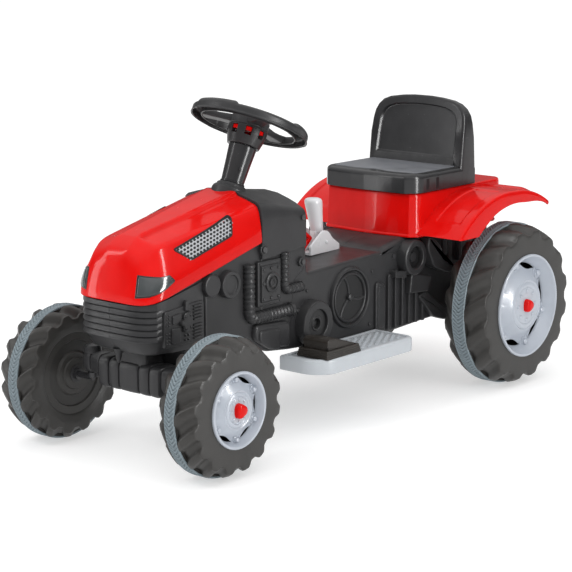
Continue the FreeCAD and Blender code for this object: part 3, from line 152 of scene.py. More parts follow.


# crease sets the strength of the painted shade in creases; the edge wear setting also sets a painted edge
# highlight
def finish(name, colour, rough, tone=0.08, grain=1500.0, depth=0.02, swell=0.0, edge_wear_and_highlight=0.25, dust=0.06,
           scratch=0.0, patch=30.0, crease=0.0, **shader):
    """A moulded finish: mottled colour, paler edges of rubbed wear and painted highlight, painted shade in
    creases, dust, grain in the surface and in its gloss.
    """
    material = bpy.data.materials.new(name)
    material.use_nodes = True
    tree = material.node_tree
    bsdf = tree.nodes["Principled BSDF"]
    mould = shared(tree, GRAIN, Scale=grain, Patch=patch)
    wear_and_light = shared(tree, EDGES)

    def times(value, share):
        """A value made weaker or stronger."""
        return sums(tree, "MULTIPLY", value, share)

    def toned(share, lift=0.0):
        """The finish's colour, darker or paler."""
        return [min(1, c * share + lift) for c in colour] + [1]

    film = times(shared(tree, DUST)["Film"], dust)
    mottled = blend(tree, mould["Mottle"], toned(1 - tone), toned(1 + tone))
    # painted shade in creases, darkening towards a fifth of the colour
    shaded = blend(tree, times(wear_and_light["PaintedCreaseShade"], crease), mottled, toned(0.2))
    # paler edges: rubbed wear and a painted edge highlight
    edged = blend(tree, times(wear_and_light["Rubbed"], edge_wear_and_highlight), shaded, toned(1.5, 0.06))
    tree.links.new(blend(tree, film, edged, DUST_COLOUR), bsdf.inputs["Base Color"])
    gloss = between(tree, mould["Mottle"], 0.0, 1.0, rough * 0.88, rough * 1.12)
    gloss = sums(tree, "ADD", gloss, times(film, 0.6))
    if scratch:
        gloss = sums(tree, "ADD", gloss, times(shared(tree, SCRATCHES)["Scratch"], scratch))
    tree.links.new(gloss, bsdf.inputs["Roughness"])
    relief = times(mould["Grain"], depth)
    if swell:
        relief = sums(tree, "ADD", relief, times(mould["Swell"], swell))
    bump = step(tree, "Bump", {"Height": relief, "Distance": MM, "Strength": 1.0})
    tree.links.new(bump.outputs["Normal"], bsdf.inputs["Normal"])
    for socket, value in shader.items():
        bsdf.inputs[socket.replace("_", " ").title().replace("Ior", "IOR")].default_value = value
    return material


# crease values below set painted shade in creases; edge wear values also set a painted edge highlight
red = finish("glossy_red", (0.655, 0.0045, 0.0035), 0.2, tone=0.04, depth=0.004, swell=0.25, edge_wear_and_highlight=0.08,
             dust=0.01, scratch=0.08, crease=0.3, specular_ior_level=0.05, coat_weight=0.2,
             coat_roughness=0.04)
charcoal = finish("satin_charcoal", (0.030, 0.030, 0.0315), 0.36, tone=0.10, depth=0.03, swell=0.5, edge_wear_and_highlight=0.3,
                  dust=0.03, scratch=0.05, crease=0.8, specular_ior_level=0.23)
tread = finish("blown_tyre", (0.034, 0.0325, 0.0305), 0.40, tone=0.12, depth=0.04, swell=0.4, edge_wear_and_highlight=0.3,
               dust=0.04, crease=0.6, specular_ior_level=0.32)
band_grey = finish("tread_band", (0.19, 0.235, 0.26), 0.62, tone=0.06, depth=0.05, edge_wear_and_highlight=0.15, dust=0.05,
                   crease=0.9)
pearl = finish("rim_pearl", (0.42, 0.455, 0.51), 0.32, tone=0.04, grain=2600.0, depth=0.012, edge_wear_and_highlight=0.3,
               dust=0.02, scratch=0.06, coat_weight=0.2, coat_roughness=0.1)
seat_gloss = finish("seat_shell", (0.024, 0.024, 0.0255), 0.22, tone=0.08, depth=0.012, swell=0.35, edge_wear_and_highlight=0.25,
                    dust=0.03, scratch=0.06, specular_ior_level=0.3)
# the pad's own grey, made paler to carry a painted sheen
seat_grain = finish("seat_grain", (0.125, 0.13, 0.145), 0.46, tone=0.12, grain=520.0, depth=0.28, edge_wear_and_highlight=0.2,
                    dust=0.05)
pale_grey = finish("footrest_grey", (0.47, 0.50, 0.53), 0.38, tone=0.03, depth=0.03, edge_wear_and_highlight=0.1, dust=0.05,
                   crease=0.5)
white = finish("white_moulding", (0.72, 0.72, 0.74), 0.3, tone=0.02, depth=0.012, edge_wear_and_highlight=0.05, dust=0.04)
brown_black = finish("pedal_black", (0.022, 0.0185, 0.0155), 0.42, tone=0.12, depth=0.05, edge_wear_and_highlight=0.3, dust=0.05,
                     specular_ior_level=0.3)
smoked = finish("lamp_smoke", (0.050, 0.056, 0.058), 0.16, tone=0.1, depth=0.004, edge_wear_and_highlight=0.15, dust=0.02,
                scratch=0.05, coat_weight=0.6, coat_roughness=0.04)
bezel = finish("lamp_bezel", (0.010, 0.010, 0.011), 0.3, tone=0.1, depth=0.01, edge_wear_and_highlight=0.15, dust=0.02)
mesh_silver = finish("vent_silver", (0.36, 0.37, 0.39), 0.34, tone=0.06, depth=0.02, edge_wear_and_highlight=0.2, dust=0.03)
mesh_dark = finish("vent_backing", (0.008, 0.008, 0.009), 0.55, tone=0.1, depth=0.02, edge_wear_and_highlight=0.1, dust=0.0,
                   specular_ior_level=0.2)
steel = finish("zinc_steel", (0.50, 0.50, 0.51), 0.3, tone=0.06, grain=900.0, depth=0.02, edge_wear_and_highlight=0.3, dust=0.03,
               scratch=0.2, metallic=1.0)
black_steel = finish("blacked_steel", (0.022, 0.022, 0.024), 0.38, tone=0.1, grain=900.0, depth=0.02,
                     edge_wear_and_highlight=0.5, dust=0.03, scratch=0.15)
nylon = finish("natural_nylon", (0.62, 0.60, 0.54), 0.42, tone=0.04, depth=0.03, edge_wear_and_highlight=0.1, dust=0.03)
case_grey = finish("battery_grey", (0.12, 0.13, 0.15), 0.45, tone=0.08, depth=0.04, edge_wear_and_highlight=0.2, dust=0.05)

# Shapes


def about_x(centre):
    """Points about an axle: along it, then two across."""
    x, y, z = centre
    return lambda along, u, v: (x + along, y + u, z + v)


def about_z(x, y):
    """Points about an upright axis: along it, then two across."""
    return lambda along, u, v: (x + u, y + v, along)


def side_view(along, u, v):
    """u is Y, v is Z, along is X."""
    return (along, u, v)


def plan_view(along, u, v):
    """u is X, v is Y, along is Z."""
    return (u, v, along)


def front_view(along, u, v):
    """u is X, v is Z, along is Y."""
    return (u, along, v)


STEER = Vector((0.0, -138.6, 494.0))
RAKE = math.radians(25)


def raked(along, u, v):
    """Points about the steering column."""
    lean, rise = math.sin(RAKE), math.cos(RAKE)
    return (STEER.x + u, STEER.y + along * lean + v * rise, STEER.z + along * rise - v * lean)


def polar(frame_of, along, reach, angle):
    """A point at a distance and an angle about an axis."""
    return frame_of(along, reach * math.cos(angle), reach * math.sin(angle))


def round_angles(steps):
    """Equal angles round a full turn."""
    return [2 * math.pi * index / steps for index in range(steps)]


def oblong(left, low, right, high):
    """Corners of a rectangle."""
    return [(left, low), (right, low), (right, high), (left, high)]


def both_sides(half):
    """Half an outline, from its foot up to the middle, and its mirror image."""
    return half + [(-u, v) for u, v in half[-2::-1]]


def mixed(a, b, t):
    """The value at a share of the way from one to the other."""
    return a + (b - a) * t


def eased(t):
    """A share between 0 and 1 that starts and ends gently."""
    t = min(1.0, max(0.0, t))
    return t * t * (3 - 2 * t)


def table(rows, at):
    """Straight-line reading of a table of rows that start with their place."""
    for low, high in zip(rows, rows[1:]):
        if at <= high[0]:
            t = max(0.0, (at - low[0]) / (high[0] - low[0]))
            return [mixed(a, b, t) for a, b in zip(low[1:], high[1:])]
    return list(rows[-1][1:])


def rounded(corners, radius, steps=4):
    """A polygon with each corner turned into a short curve; a corner may carry its own radius."""
    spots = []
    count = len(corners)
    for here in range(count):
        spot = Vector(corners[here][:2])
        own = corners[here][2] if len(corners[here]) > 2 else radius
        before = Vector(corners[here - 1][:2]) - spot
        after = Vector(corners[(here + 1) % count][:2]) - spot
        reach = min(own, 0.45 * before.length, 0.45 * after.length)
        start = spot + before.normalized() * reach
        end = spot + after.normalized() * reach
        for index in range(steps + 1):
            t = index / steps
            spots.append((1 - t) ** 2 * start + 2 * t * (1 - t) * spot + t * t * end)
    return [(p.x, p.y) for p in spots]


def facing(outline):
    """1 if the outline runs anticlockwise."""
    area = 0.0
    for (ax, ay), (bx, by) in zip(outline, outline[1:] + outline[:1]):
        area += ax * by - bx * ay
    return 1 if area > 0 else -1


def crossing(a, b, c, d):
    """Where the line through a and b meets the line through c and d."""
    run, other, gap = b - a, d - c, c - a
    across = run.x * other.y - run.y * other.x
    if abs(across) < 1e-9:
        return (b + c) / 2
    return a + run * ((gap.x * other.y - gap.y * other.x) / across)


def inset(outline, depth):
    """The outline drawn in by a depth; a corner that would turn inside out closes to one point."""
    turn = facing(outline)
    count = len(outline)
    old = [Vector(spot) for spot in outline]
    spots = []
    for here in range(count):
        before = (old[here] - old[here - 1]).normalized()
        after = (old[(here + 1) % count] - old[here]).normalized()
        inward = Vector((-before.y - after.y, before.x + after.x)) * turn
        length = max(0.5, inward.length / 2)
        inward.normalize()
        spots.append(old[here] + inward * depth / length)
    flipped = [(spots[(k + 1) % count] - spots[k]).dot(old[(k + 1) % count] - old[k]) < 0
               for k in range(count)]
    made = list(spots)
    for start in range(count):
        if not flipped[start] or flipped[start - 1] or all(flipped):
            continue
        end = start
        while flipped[end % count]:
            end += 1
        meet = crossing(spots[start - 1], spots[start], spots[end % count], spots[(end + 1) % count])
        for k in range(start, end + 1):
            made[k % count] = meet
    return [tuple(spot) for spot in made]


class Form:
    """Points and faces of a piece before it becomes a mesh."""

    def __init__(self):
        self.points = []
        self.faces = []

    def add(self, points, faces):
        """More points, and faces that count from the first of them."""
        first = len(self.points)
        self.points += [Vector(p) for p in points]
        self.faces += [[first + index for index in face] for face in faces]
        return self

    def join(self, other):
        """All of another form."""
        return self.add(other.points, other.faces)

    def mirrored(self):
        """The same shape on the other side of the tractor."""
        other = Form()
        return other.add([(-p.x, p.y, p.z) for p in self.points], [face[::-1] for face in self.faces])

    def loft(self, rings, around=False):
        """A skin through closed rings of equally many points, capped unless it runs around."""
        count = len(rings[0])
        faces = []
        for span in range(len(rings) if around else len(rings) - 1):
            a, b = span * count, (span + 1) % len(rings) * count
            for here in range(count):
                there = (here + 1) % count
                faces.append((a + here, a + there, b + there, b + here))
        if not around:
            faces.append(tuple(range(count))[::-1])
            faces.append(tuple(range((len(rings) - 1) * count, len(rings) * count)))
        return self.add([p for ring in rings for p in ring], faces)

    def lathe(self, profile, frame_of, steps=64, lobes=lambda angle: 1.0):
        """(along, radius) pairs turned about an axis and capped at both ends."""
        return self.loft([[polar(frame_of, along, radius * lobes(angle), angle)
                           for angle in round_angles(steps)] for along, radius in profile])

    def ring(self, profile, frame_of, steps=64):
        """A closed (along, radius) outline turned about an axis."""
        return self.loft([[polar(frame_of, along, radius, angle) for along, radius in profile]
                          for angle in round_angles(steps)], around=True)

    def slab(self, outline, view, low, high, edge=2.0, foot=0.0, steps=3):
        """A plate with rounded upper edges, and lower ones where a foot radius is given."""
        quarter = [math.pi / 2 * index / steps for index in range(steps + 1)]
        levels = [(low, 0.0)]
        if foot:
            levels = [(low + foot * (1 - math.sin(turn)), foot * (1 - math.cos(turn)))
                      for turn in quarter[::-1]]
        levels += [(high - edge * (1 - math.sin(turn)), edge * (1 - math.cos(turn))) for turn in quarter]
        spans = [max(spot[k] for spot in outline) - min(spot[k] for spot in outline) for k in (0, 1)]
        if min(spans) > 5 * (edge + 2.0):
            levels.append((high, edge + 1.5))
        rings = []
        for level, drawn in levels:
            rings.append([view(level, u, v) for u, v in (inset(outline, drawn) if drawn else outline)])
        return self.loft(rings)

    def sweep(self, path, radius_at, steps=16):
        """A round tube along points, its radius given by the distance run."""
        rings = []
        run = 0.0
        for index, spot in enumerate(path):
            spot = Vector(spot)
            ahead = Vector(path[min(index + 1, len(path) - 1)])
            behind = Vector(path[max(index - 1, 0)])
            run += (spot - behind).length if index else 0.0
            heading = (ahead - behind).normalized()
            across = heading.cross(Vector((1, 0, 0)) if abs(heading.x) < 0.9
                                   else Vector((0, 1, 0))).normalized()
            up = heading.cross(across)
            reach = radius_at(run)
            rings.append([spot + reach * (across * math.cos(2 * math.pi * k / steps)
                                          + up * math.sin(2 * math.pi * k / steps)) for k in range(steps)])
        return self.loft(rings)


def walled(outer, inner, columns, closed=False, hole=lambda row, column: False, extra=()):
    """Two skins of points in rows and columns, with walls between them along every open edge."""
    layer = len(outer)
    faces = []
    for row in range(layer // columns - 1):
        for column in range(columns if closed else columns - 1):
            a, b = row * columns + column, row * columns + (column + 1) % columns
            if not hole(row, column):
                faces.append((a, b, b + columns, a + columns))
    faces += extra
    uses = {}
    for face in faces:
        for pair in zip(face, face[1:] + face[:1]):
            edge = tuple(sorted(pair))
            uses[edge] = uses.get(edge, 0) + 1
    walls = [(a, b, b + layer, a + layer) for (a, b), count in uses.items() if count == 1]
    return Form().add(outer + inner, faces + [tuple(k + layer for k in face) for face in faces] + walls)


def terraces(outline, levels):
    """Level rings of an outline: how far each is drawn in, and its height."""
    return [[(u, v, level) for u, v in inset(outline, drawn)] for drawn, level in levels]


def even_normals(item):
    """Shading that follows the larger faces."""
    normals = item.modifiers.new("normals", "WEIGHTED_NORMAL")
    normals.weight = 80
    return normals


def piece(name, form, material, body, slot, nodes=(), angle=35, smooth=0):
    """Makes the mesh, gives it its finish, and lets it ride on its body."""
    mesh = bpy.data.meshes.new(name)
    mesh.from_pydata([p * MM for p in form.points], [], form.faces)
    work = bmesh.new()
    work.from_mesh(mesh)
    bmesh.ops.remove_doubles(work, verts=work.verts, dist=1e-7)
    bmesh.ops.recalc_face_normals(work, faces=work.faces)
    work.to_mesh(mesh)
    work.free()
    mesh.shade_smooth()
    item = bpy.data.objects.new(name, mesh)
    bpy.context.scene.collection.objects.link(item)
    mesh.materials.append(material)
    if smooth:
        rounder = item.modifiers.new("rounding", "SUBSURF")
        rounder.levels = smooth
        rounder.render_levels = smooth
    else:
        mesh.set_sharp_from_angle(angle=math.radians(angle))
        even_normals(item).keep_sharp = True
    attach(item, body)
    if nodes:
        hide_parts(*nodes)
    return item


def look(node, form, material, slot, body="chassis", **how):
    """The modelled skin of one CAD node."""
    return piece(node + "_look", form, material, body, slot, [node], **how)


def soften(item, width):
    """Rounded edges on a piece whose own mesh stays as it is."""
    edges = item.modifiers.new("edges", "BEVEL")
    edges.width = width * MM
    edges.segments = 2
    edges.limit_method = "ANGLE"
    edges.angle_limit = math.radians(35)
    edges.use_clamp_overlap = False
    even_normals(item)


# Wheels

LUGS = 16
LUG_DEPTH = 8.6
BAND_DEPTH = 3.0
WHEELS = {
    "front": dict(y=-403.0, radius=110.0, inner=32.0, outer=41.0, band=10.0, rim=60.0, chevrons=100),
    "rear": dict(y=367.0, radius=146.0, inner=38.0, outer=50.0, band=13.0, rim=93.0, chevrons=130),
}
AXLE_Y, AXLE_Z = WHEELS["rear"]["y"], WHEELS["rear"]["radius"]
HALF_TRACK = 171.0
HUB = 16.0
HUB_BORE = 9.2
LUG_STEPS = 18


def lug(angle):
    """1 on the top of a lug and 0 in the groove, with steep flanks."""
    wave = 0.5 + 0.5 * math.cos(LUGS * angle)
    return eased((wave - 0.04) / 0.86)


def tyre_form(end):
    """Blown tyre: slanted lugs on both sides of the band, a flat outer side and a stepped inner one."""
    size = WHEELS[end]
    radius, band, rim = size["radius"], size["band"], size["rim"]
    pitch = 2 * math.pi / LUGS
    stations = []

    def tread_rings(side, reach):
        """Rings from the face of the tyre to the band, the lugs turning half a pitch on the way."""
        rows = 9
        shoulder = 3.5
        for drop, drawn in ((7.0, 0.0), (2.2, 0.5), (0.7, 1.5)):
            stations.append((side * (reach - drawn), radius - 1.25 * LUG_DEPTH - drop, -0.5 * pitch,
                             LUG_DEPTH))
        for row in range(rows + 1):
            t = row / rows
            along = side * mixed(reach - shoulder, band, t)
            crest = mixed(radius - 1.25 * LUG_DEPTH, radius - 1.0, min(1.0, 1.25 * t) ** 0.8)
            stations.append((along, crest, -0.5 * pitch * (1 - t), LUG_DEPTH * mixed(1.0, 0.85, t)))
        stations.append((side * band, radius - BAND_DEPTH - 0.6, 0.0, 0.0))

    outer, inner = size["outer"], size["inner"]
    opening = rim - 5.0
    for along, reach in ((outer - 7, opening), (outer - 1, opening), (outer, opening + 1), (outer, rim + 6),
                         (outer + 0.4, rim + 12)):
        stations.append((along, reach, 0.0, 0.0))
    tread_rings(1, outer)
    start = len(stations)
    tread_rings(-1, inner)
    stations[start:] = stations[start:][::-1]
    face = radius - 2.4 * LUG_DEPTH - 9
    wall = radius - 2.4 * LUG_DEPTH - 4
    dish = [(-inner, face), (-inner + 1.5, face - 3), (-inner + 2, 0.64 * radius),
            (-inner + 4.5, 0.61 * radius), (-inner + 4.5, 0.5 * radius), (-inner + 7, 0.485 * radius),
            (-inner + 7, 0.34 * radius), (-inner + 3, 0.31 * radius), (-inner + 3, 0.24 * radius),
            (-inner, 0.225 * radius), (-inner, HUB - 2), (-inner, HUB_BORE), (outer - 12, HUB_BORE),
            (outer - 12, HUB), (-inner + 12, HUB + 2), (-inner + 12, wall), (outer - 7, wall)]
    stations += [(along, reach, 0.0, 0.0) for along, reach in dish]
    count = LUGS * LUG_STEPS
    frame_of = about_x((HALF_TRACK, size["y"], radius))
    rings = []
    for along, reach, turn, depth in stations:
        rings.append([polar(frame_of, along, reach - depth * (1 - lug(angle - turn)), angle)
                      for angle in round_angles(count)])
    return Form().loft(rings, around=True)


def band_form(end):
    """Soft band with a herringbone cut into it."""
    size = WHEELS[end]
    radius, half, chevrons = size["radius"], size["band"], size["chevrons"]
    groove, samples = 2.5, 6
    shares = [0.06, 0.2, 0.4, 0.6, 0.8, 0.93, 1.0]
    frame_of = about_x((HALF_TRACK, size["y"], radius))
    rings = []
    for index, angle in enumerate(round_angles(chevrons * samples)):
        section = []
        for share in [-share for share in shares[::-1]] + shares:
            phase = (index / samples + 1.6 * abs(share)) % 1.0
            cut = eased(1 - abs(phase - 0.5) / 0.28) if abs(share) < 0.9 else 0.0
            edge = 0.9 if abs(share) == 1.0 else 0.0
            section.append((share * half, radius - 0.1 - groove * cut - edge))
        section += [(half, radius - BAND_DEPTH), (-half, radius - BAND_DEPTH)]
        rings.append([polar(frame_of, along, reach, angle) for along, reach in section])
    return Form().loft(rings, around=True)


SPOKES = 6
BOLTS = 8
RIM_STEPS = 30
RIM_LIP = 4.0
RIM_WALL = 2.5
RIM_BORE = 7.0
# Depth of the dish, drop of the dome, edges of the windows and foot of the dome as shares of the rim,
# angle of the first window
DISH = {"front": dict(depth=9.0, drop=3.5, windows=(0.84, 0.72), dome=(0.60, 0.555, 0.525, 0.50),
                      first=math.radians(1)),
        "rear": dict(depth=17.6, drop=5.0, windows=(0.82, 0.70), dome=(0.58, 0.53, 0.50, 0.485),
                     first=math.radians(13))}


def rim_form(end):
    """Rim cover: outer ring, dish with windows between studs, and a ringed dome with bolts."""
    size, dish = WHEELS[end], DISH[end]
    out, rim, first = size["outer"], size["rim"], dish["first"]
    base = out - dish["depth"]
    top = out + RIM_LIP - dish["drop"]
    ring, foot = [share * rim for share in dish["windows"]]
    slope = [share * rim for share in dish["dome"]]
    profile = [(out + 0.3, rim), (out + 2.6, rim - 0.2), (out + 3.7, rim - 1.2), (out + 4.0, rim - 2.6),
               (out + 3.4, rim - 4.4), (out + 1.5, rim - 5.6), (out - 4.5, max(ring + 2.0, rim - 8.0)),
               (base + 1.4, ring + 1.0), (base, ring), (base, foot), (base + 1.2, foot - 1.8),
               (mixed(base, top, 0.55), slope[0]), (top - 3.4, slope[1]), (top - 1.4, slope[2]),
               (top - 0.6, slope[3])]
    profile += [(top - drop, share * rim)
                for drop, share in ((1.1, 0.475), (2.1, 0.455), (1.0, 0.435), (0.4, 0.40), (0.3, 0.375),
                                    (1.3, 0.355), (0.2, 0.335), (0, 0.2))]
    profile.append((top, RIM_BORE + 0.2))
    window_row, window_half = 8, 10
    count = SPOKES * RIM_STEPS
    frame_of = about_x((HALF_TRACK, size["y"], size["radius"]))

    def reach_at(row, index):
        """Radius on the rim; the lower edge of a window bows out to meet the upper one at its ends."""
        radius = profile[row][1]
        off = abs((index + RIM_STEPS // 2) % RIM_STEPS - RIM_STEPS // 2)
        if row != window_row + 1 or off >= window_half:
            return radius
        return mixed(radius, profile[window_row][1] - 0.6, (off / window_half) ** 2)

    def skin(drop, drawn):
        """All points of the rim, set back by a drop and drawn in."""
        return [polar(frame_of, profile[row][0] - drop, max(reach_at(row, k) - drawn, RIM_BORE),
                      first + 2 * math.pi * k / count) for row in range(len(profile)) for k in range(count)]

    def in_window(row, column):
        """True where the dish is open."""
        place = (column + 0.5) % RIM_STEPS
        return row == window_row and (place < window_half or place > RIM_STEPS - window_half)

    form = walled(skin(0.0, 0.0), skin(RIM_WALL, 0.6), count, True, in_window)
    stud = 0.045 * rim + 1.4
    pad = rounded([(-0.09 * rim, -4.5), (0.08 * rim, -3.2), (0.08 * rim, 3.2), (-0.09 * rim, 4.5)], 2.0, 2)
    for spoke in range(SPOKES):
        angle = first + 2 * math.pi * (spoke + 0.5) / SPOKES
        x, y, z = polar(frame_of, 0, 0.80 * rim - 1, angle)
        form.lathe([(base + rise, stud * share)
                    for rise, share in ((-1.5, 1.3), (1.8, 1.25), (2.4, 1.0), (5.6, 0.96), (6.8, 0.75),
                                        (7.4, 0.35))], about_x((x, y, z)), 14)
        turned = [(y + u * math.cos(angle) - v * math.sin(angle),
                   z + u * math.sin(angle) + v * math.cos(angle)) for u, v in pad]
        form.slab(turned, side_view, x + base - 1.8, x + base + 1.6, 1.0, steps=2)
    head = 0.038 * rim
    for angle in round_angles(BOLTS):
        form.lathe([(top - 1.0, head), (top + 0.8, head), (top + 1.6, head * 0.7), (top + 1.9, head * 0.3)],
                   about_x(polar(frame_of, 0, 0.285 * rim, angle)), 10)
    return form


CAP_RADIUS = 11.4


def cap_form(end):
    """Three-lobed hub cap."""
    size = WHEELS[end]
    top = size["outer"] + RIM_LIP - DISH[end]["drop"]
    profile = [(top + rise, CAP_RADIUS * share)
               for rise, share in ((-0.2, 1.0), (5.0, 0.98), (7.4, 0.92), (9.0, 0.78), (9.8, 0.5),
                                   (10.0, 0.15))]
    return Form().lathe(profile, about_x((HALF_TRACK, size["y"], size["radius"])), 48,
                        lambda angle: 1 + 0.09 * math.cos(3 * angle))


for end in WHEELS:
    shapes = (("tyre", tyre_form(end), tread, "tyre_plastic"),
              ("band", band_form(end), band_grey, "band_rubber"),
              ("rim", rim_form(end), pearl, "rim_plastic"), ("cap", cap_form(end), red, "red_plastic"))
    for side, sign in SIDES:
        for part, form, material, slot in shapes:
            look("%s_%s_%s" % (end, part, side), form if sign > 0 else form.mirrored(), material, slot,
                 "%s_wheel_%s" % (end, side[0]))

# Hood, lamps and vents

# Place along the tractor, half width below, crease half width, lower edge, crease height, top
HOOD = [(-461.5, 40, 30, 258.0, 309.0, 318.0), (-460.6, 54, 39, 258.2, 316.5, 327.0),
        (-458.5, 63, 45.5, 258.6, 322.0, 333.5), (-454.0, 72, 49.5, 259.6, 328.0, 340.0),
        (-446.0, 79.5, 53, 261.6, 333.0, 345.0), (-434.0, 84, 56.5, 264.7, 338.5, 350.5),
        (-422.0, 85.8, 59.5, 267.9, 342.8, 354.8), (-408.0, 86.2, 61, 271.4, 345.8, 358.2),
        (-396.0, 86.3, 61.8, 274.6, 348.1, 361.4), (-350.0, 86.8, 65, 286.5, 357.0, 370.9),
        (-300.0, 87.2, 68.5, 299.4, 366.6, 381.5), (-250.0, 87.6, 72, 312.4, 376.3, 392.1),
        (-222.0, 87.9, 74, 319.6, 381.7, 398.4), (-205.6, 88, 75, 323.8, 384.8, 401.7)]
HOOD_WALL = 2.6
HOOD_LEAN = 0.16
HOOD_REAR = HOOD[-1][0]
HOOD_CREASES = {1: 0.9, 2: 0.8, 4: 0.85, 5: 0.8}
PANEL_STEP = (6, 7)


def hood_half(row):
    """Half outline from the middle of the top down to the lower edge."""
    y, wide, crease, low, high, top = row
    panel = 1.0 + 5.5 * eased((y + 424.0) / 15.0)
    inner = min(mixed(18.0, 31.0, eased((y + 430.0) / 225.0)), 0.5 * crease)
    foot = inner + 5.0
    return [(0.0, top), (inner, top), (foot, top - panel),
            (mixed(foot, crease - 3, 0.55), mixed(top - panel, high, 0.5)), (crease - 3, high),
            (crease + 2.8, high - 3.8), (crease + 6.5, high - 12),
            (mixed(crease + 6, wide, 0.55), mixed(high - 12, low, 0.33)),
            (wide - 1.2, mixed(high, low, 0.66)), (wide, low + 7), (wide, low)]


HOOD_ACROSS = 2 * len(hood_half(HOOD[0])) - 1


def hood_form():
    """Closed shell: the outer skin and one drawn in by the wall, filled in front from the foot up."""
    outer, inner = [], []
    for row in HOOD:
        y, wide, _, low, _, top = row
        half = hood_half(row)
        for x, z in half[::-1] + [(-x, z) for x, z in half[1:]]:
            lean = HOOD_LEAN * max(0.0, z - low - 6.0) * eased((-400.0 - y) / 60.0)
            outer.append((x, y + lean, z))
            inner.append((x * (1 - HOOD_WALL / wide), HOOD_REAR + (y + lean - HOOD_REAR) * 0.988,
                          low + (z - low) * (1 - HOOD_WALL / (top - low))))
    last, middle = HOOD_ACROSS - 1, HOOD_ACROSS // 2
    front = [(here, here + 1, last - here - 1, last - here) for here in range(middle - 1)]
    return walled(outer, inner, HOOD_ACROSS, extra=front + [(middle - 1, middle, middle + 1)])


def hood_place(index):
    """Skin, row and line of a point of the hood."""
    skin, rest = divmod(index, len(HOOD) * HOOD_ACROSS)
    row, column = divmod(rest, HOOD_ACROSS)
    return skin, row, abs(column - HOOD_ACROSS // 2)


hood = look("hood", hood_form(), red, "red_plastic", smooth=2)
creases = hood.data.attributes.new("crease_edge", "FLOAT", "EDGE")
for edge in hood.data.edges:
    (skin_a, row_a, line_a), (skin_b, row_b, line_b) = [hood_place(k) for k in edge.vertices]
    weight = 0.0
    if skin_a != skin_b or line_a == line_b == HOOD_ACROSS // 2 or row_a == row_b == len(HOOD) - 1:
        weight = 0.9
    elif line_a == line_b and skin_a == 0:
        weight = HOOD_CREASES.get(line_a, 0.0) * eased((HOOD[min(row_a, row_b)][0] + 446.0) / 26.0)
    elif row_a == row_b and row_a in PANEL_STEP and max(line_a, line_b) <= 2 and skin_a == 0:
        weight = 0.7
    creases.data[edge.index].value = weight


def skin_of(item):
    """The shown surface of a piece, to lay others on."""
    bpy.context.view_layer.update()
    return BVHTree.FromObject(item, bpy.context.evaluated_depsgraph_get())


hood_skin = skin_of(hood)


RAY_START = 0.3
LAMP_AXIS = (38.0, -402.0)


def laid(origin, heading, lift):
    """The outermost point of the hood along a ray, lifted off it."""
    heading = Vector(heading).normalized()
    spot, normal, _, _ = hood_skin.ray_cast(Vector(origin) * MM + heading * RAY_START, -heading)
    if normal.dot(heading) < 0:
        normal = -normal
    return spot / MM + normal * lift


def lamp_point(sign, turn, height, lift):
    """A point of the hood seen from an upright axis inside the corner."""
    heading = (math.sin(turn) * sign, -math.cos(turn), 0.0)
    return laid((LAMP_AXIS[0] * sign, LAMP_AXIS[1], height), heading, lift)


def spread(corners, steps):
    """Corners of a polygon with points along each side."""
    spots = []
    for here, spot in enumerate(corners):
        after = corners[(here + 1) % len(corners)]
        for index in range(steps):
            spots.append(tuple(mixed(a, b, index / steps) for a, b in zip(spot, after)))
    return spots


def skin_patch(outline, point_of, low, high, edge, rounds=8):
    """A closed skin laid on the hood, its edge rounded, filled in rings to its middle."""
    centre = (sum(u for u, _ in outline) / len(outline), sum(v for _, v in outline) / len(outline))

    def ring(share, lift):
        """The outline drawn towards its middle and lifted off the hood."""
        return [point_of(mixed(centre[0], u, share), mixed(centre[1], v, share), lift) for u, v in outline]

    shares = [(1.0, low), (1.0, mixed(low, high, 0.55)), (1.0 - edge * 0.4, mixed(low, high, 0.9)),
              (1.0 - edge, high)]
    for index in range(1, rounds):
        shares.append(((1.0 - edge) * (1 - index / rounds), high))
    rings = [ring(share, lift) for share, lift in shares]
    under = [ring(1 - index / rounds, low) for index in range(1, rounds)][::-1]
    return Form().loft(under + rings)


LAMP = rounded([(0.24, 268.6), (0.63, 271.4), (0.95, 276.8), (1.50, 291.0, 0.02), (1.52, 293.5, 0.02),
                (1.33, 302.0, 0.03), (1.0, 300.6), (0.70, 302.0), (0.26, 304.4)], 0.05, 3)
LAMP_MIDDLE = (0.78, 288.0)
LENS_SHARES = (0.87, 0.84)
lamp_bezels, lamps = Form(), Form()
for _, sign in SIDES:
    outline = spread(LAMP, 3)
    lens = [tuple(mixed(*pair) for pair in zip(LAMP_MIDDLE, spot, LENS_SHARES)) for spot in outline]
    on_hood = lambda u, v, lift, s=sign: lamp_point(s, u, v, lift)
    lamp_bezels.join(skin_patch(outline, on_hood, -1.2, 0.7, 0.05))
    lamps.join(skin_patch(lens, on_hood, 0.2, 1.5, 0.06))
look("headlights", lamps, smoked, "lamp_plastic", angle=50)
piece("headlight_bezels", lamp_bezels, bezel, "chassis", "lamp_plastic", angle=50)

VENT = [(-391.0, 336.4), (-363.0, 318.2), (-271.5, 343.6), (-263.4, 373.4)]


def vent_point(sign):
    """Points of the hood seen straight from the side."""
    return lambda u, v, lift: laid((60.0 * sign, u, v), (sign, 0.0, 0.0), lift)


def inside(outline, spot, margin=0.0):
    """True where a spot lies within an outline without hollows, by a margin."""
    turn = facing(outline)
    for a, b in zip(outline, outline[1:] + outline[:1]):
        run = Vector(b) - Vector(a)
        if (run.x * (spot[1] - a[1]) - run.y * (spot[0] - a[0])) * turn < margin * run.length:
            return False
    return True


SLOT_SLOPE = math.radians(15.8)
SLOT_PITCH = (7.6, 4.9)
SLOT_HALF = (3.15, 1.98)
SLOT_MIDDLE = Vector((-329.3, 340.7))
SHEET = 1.0


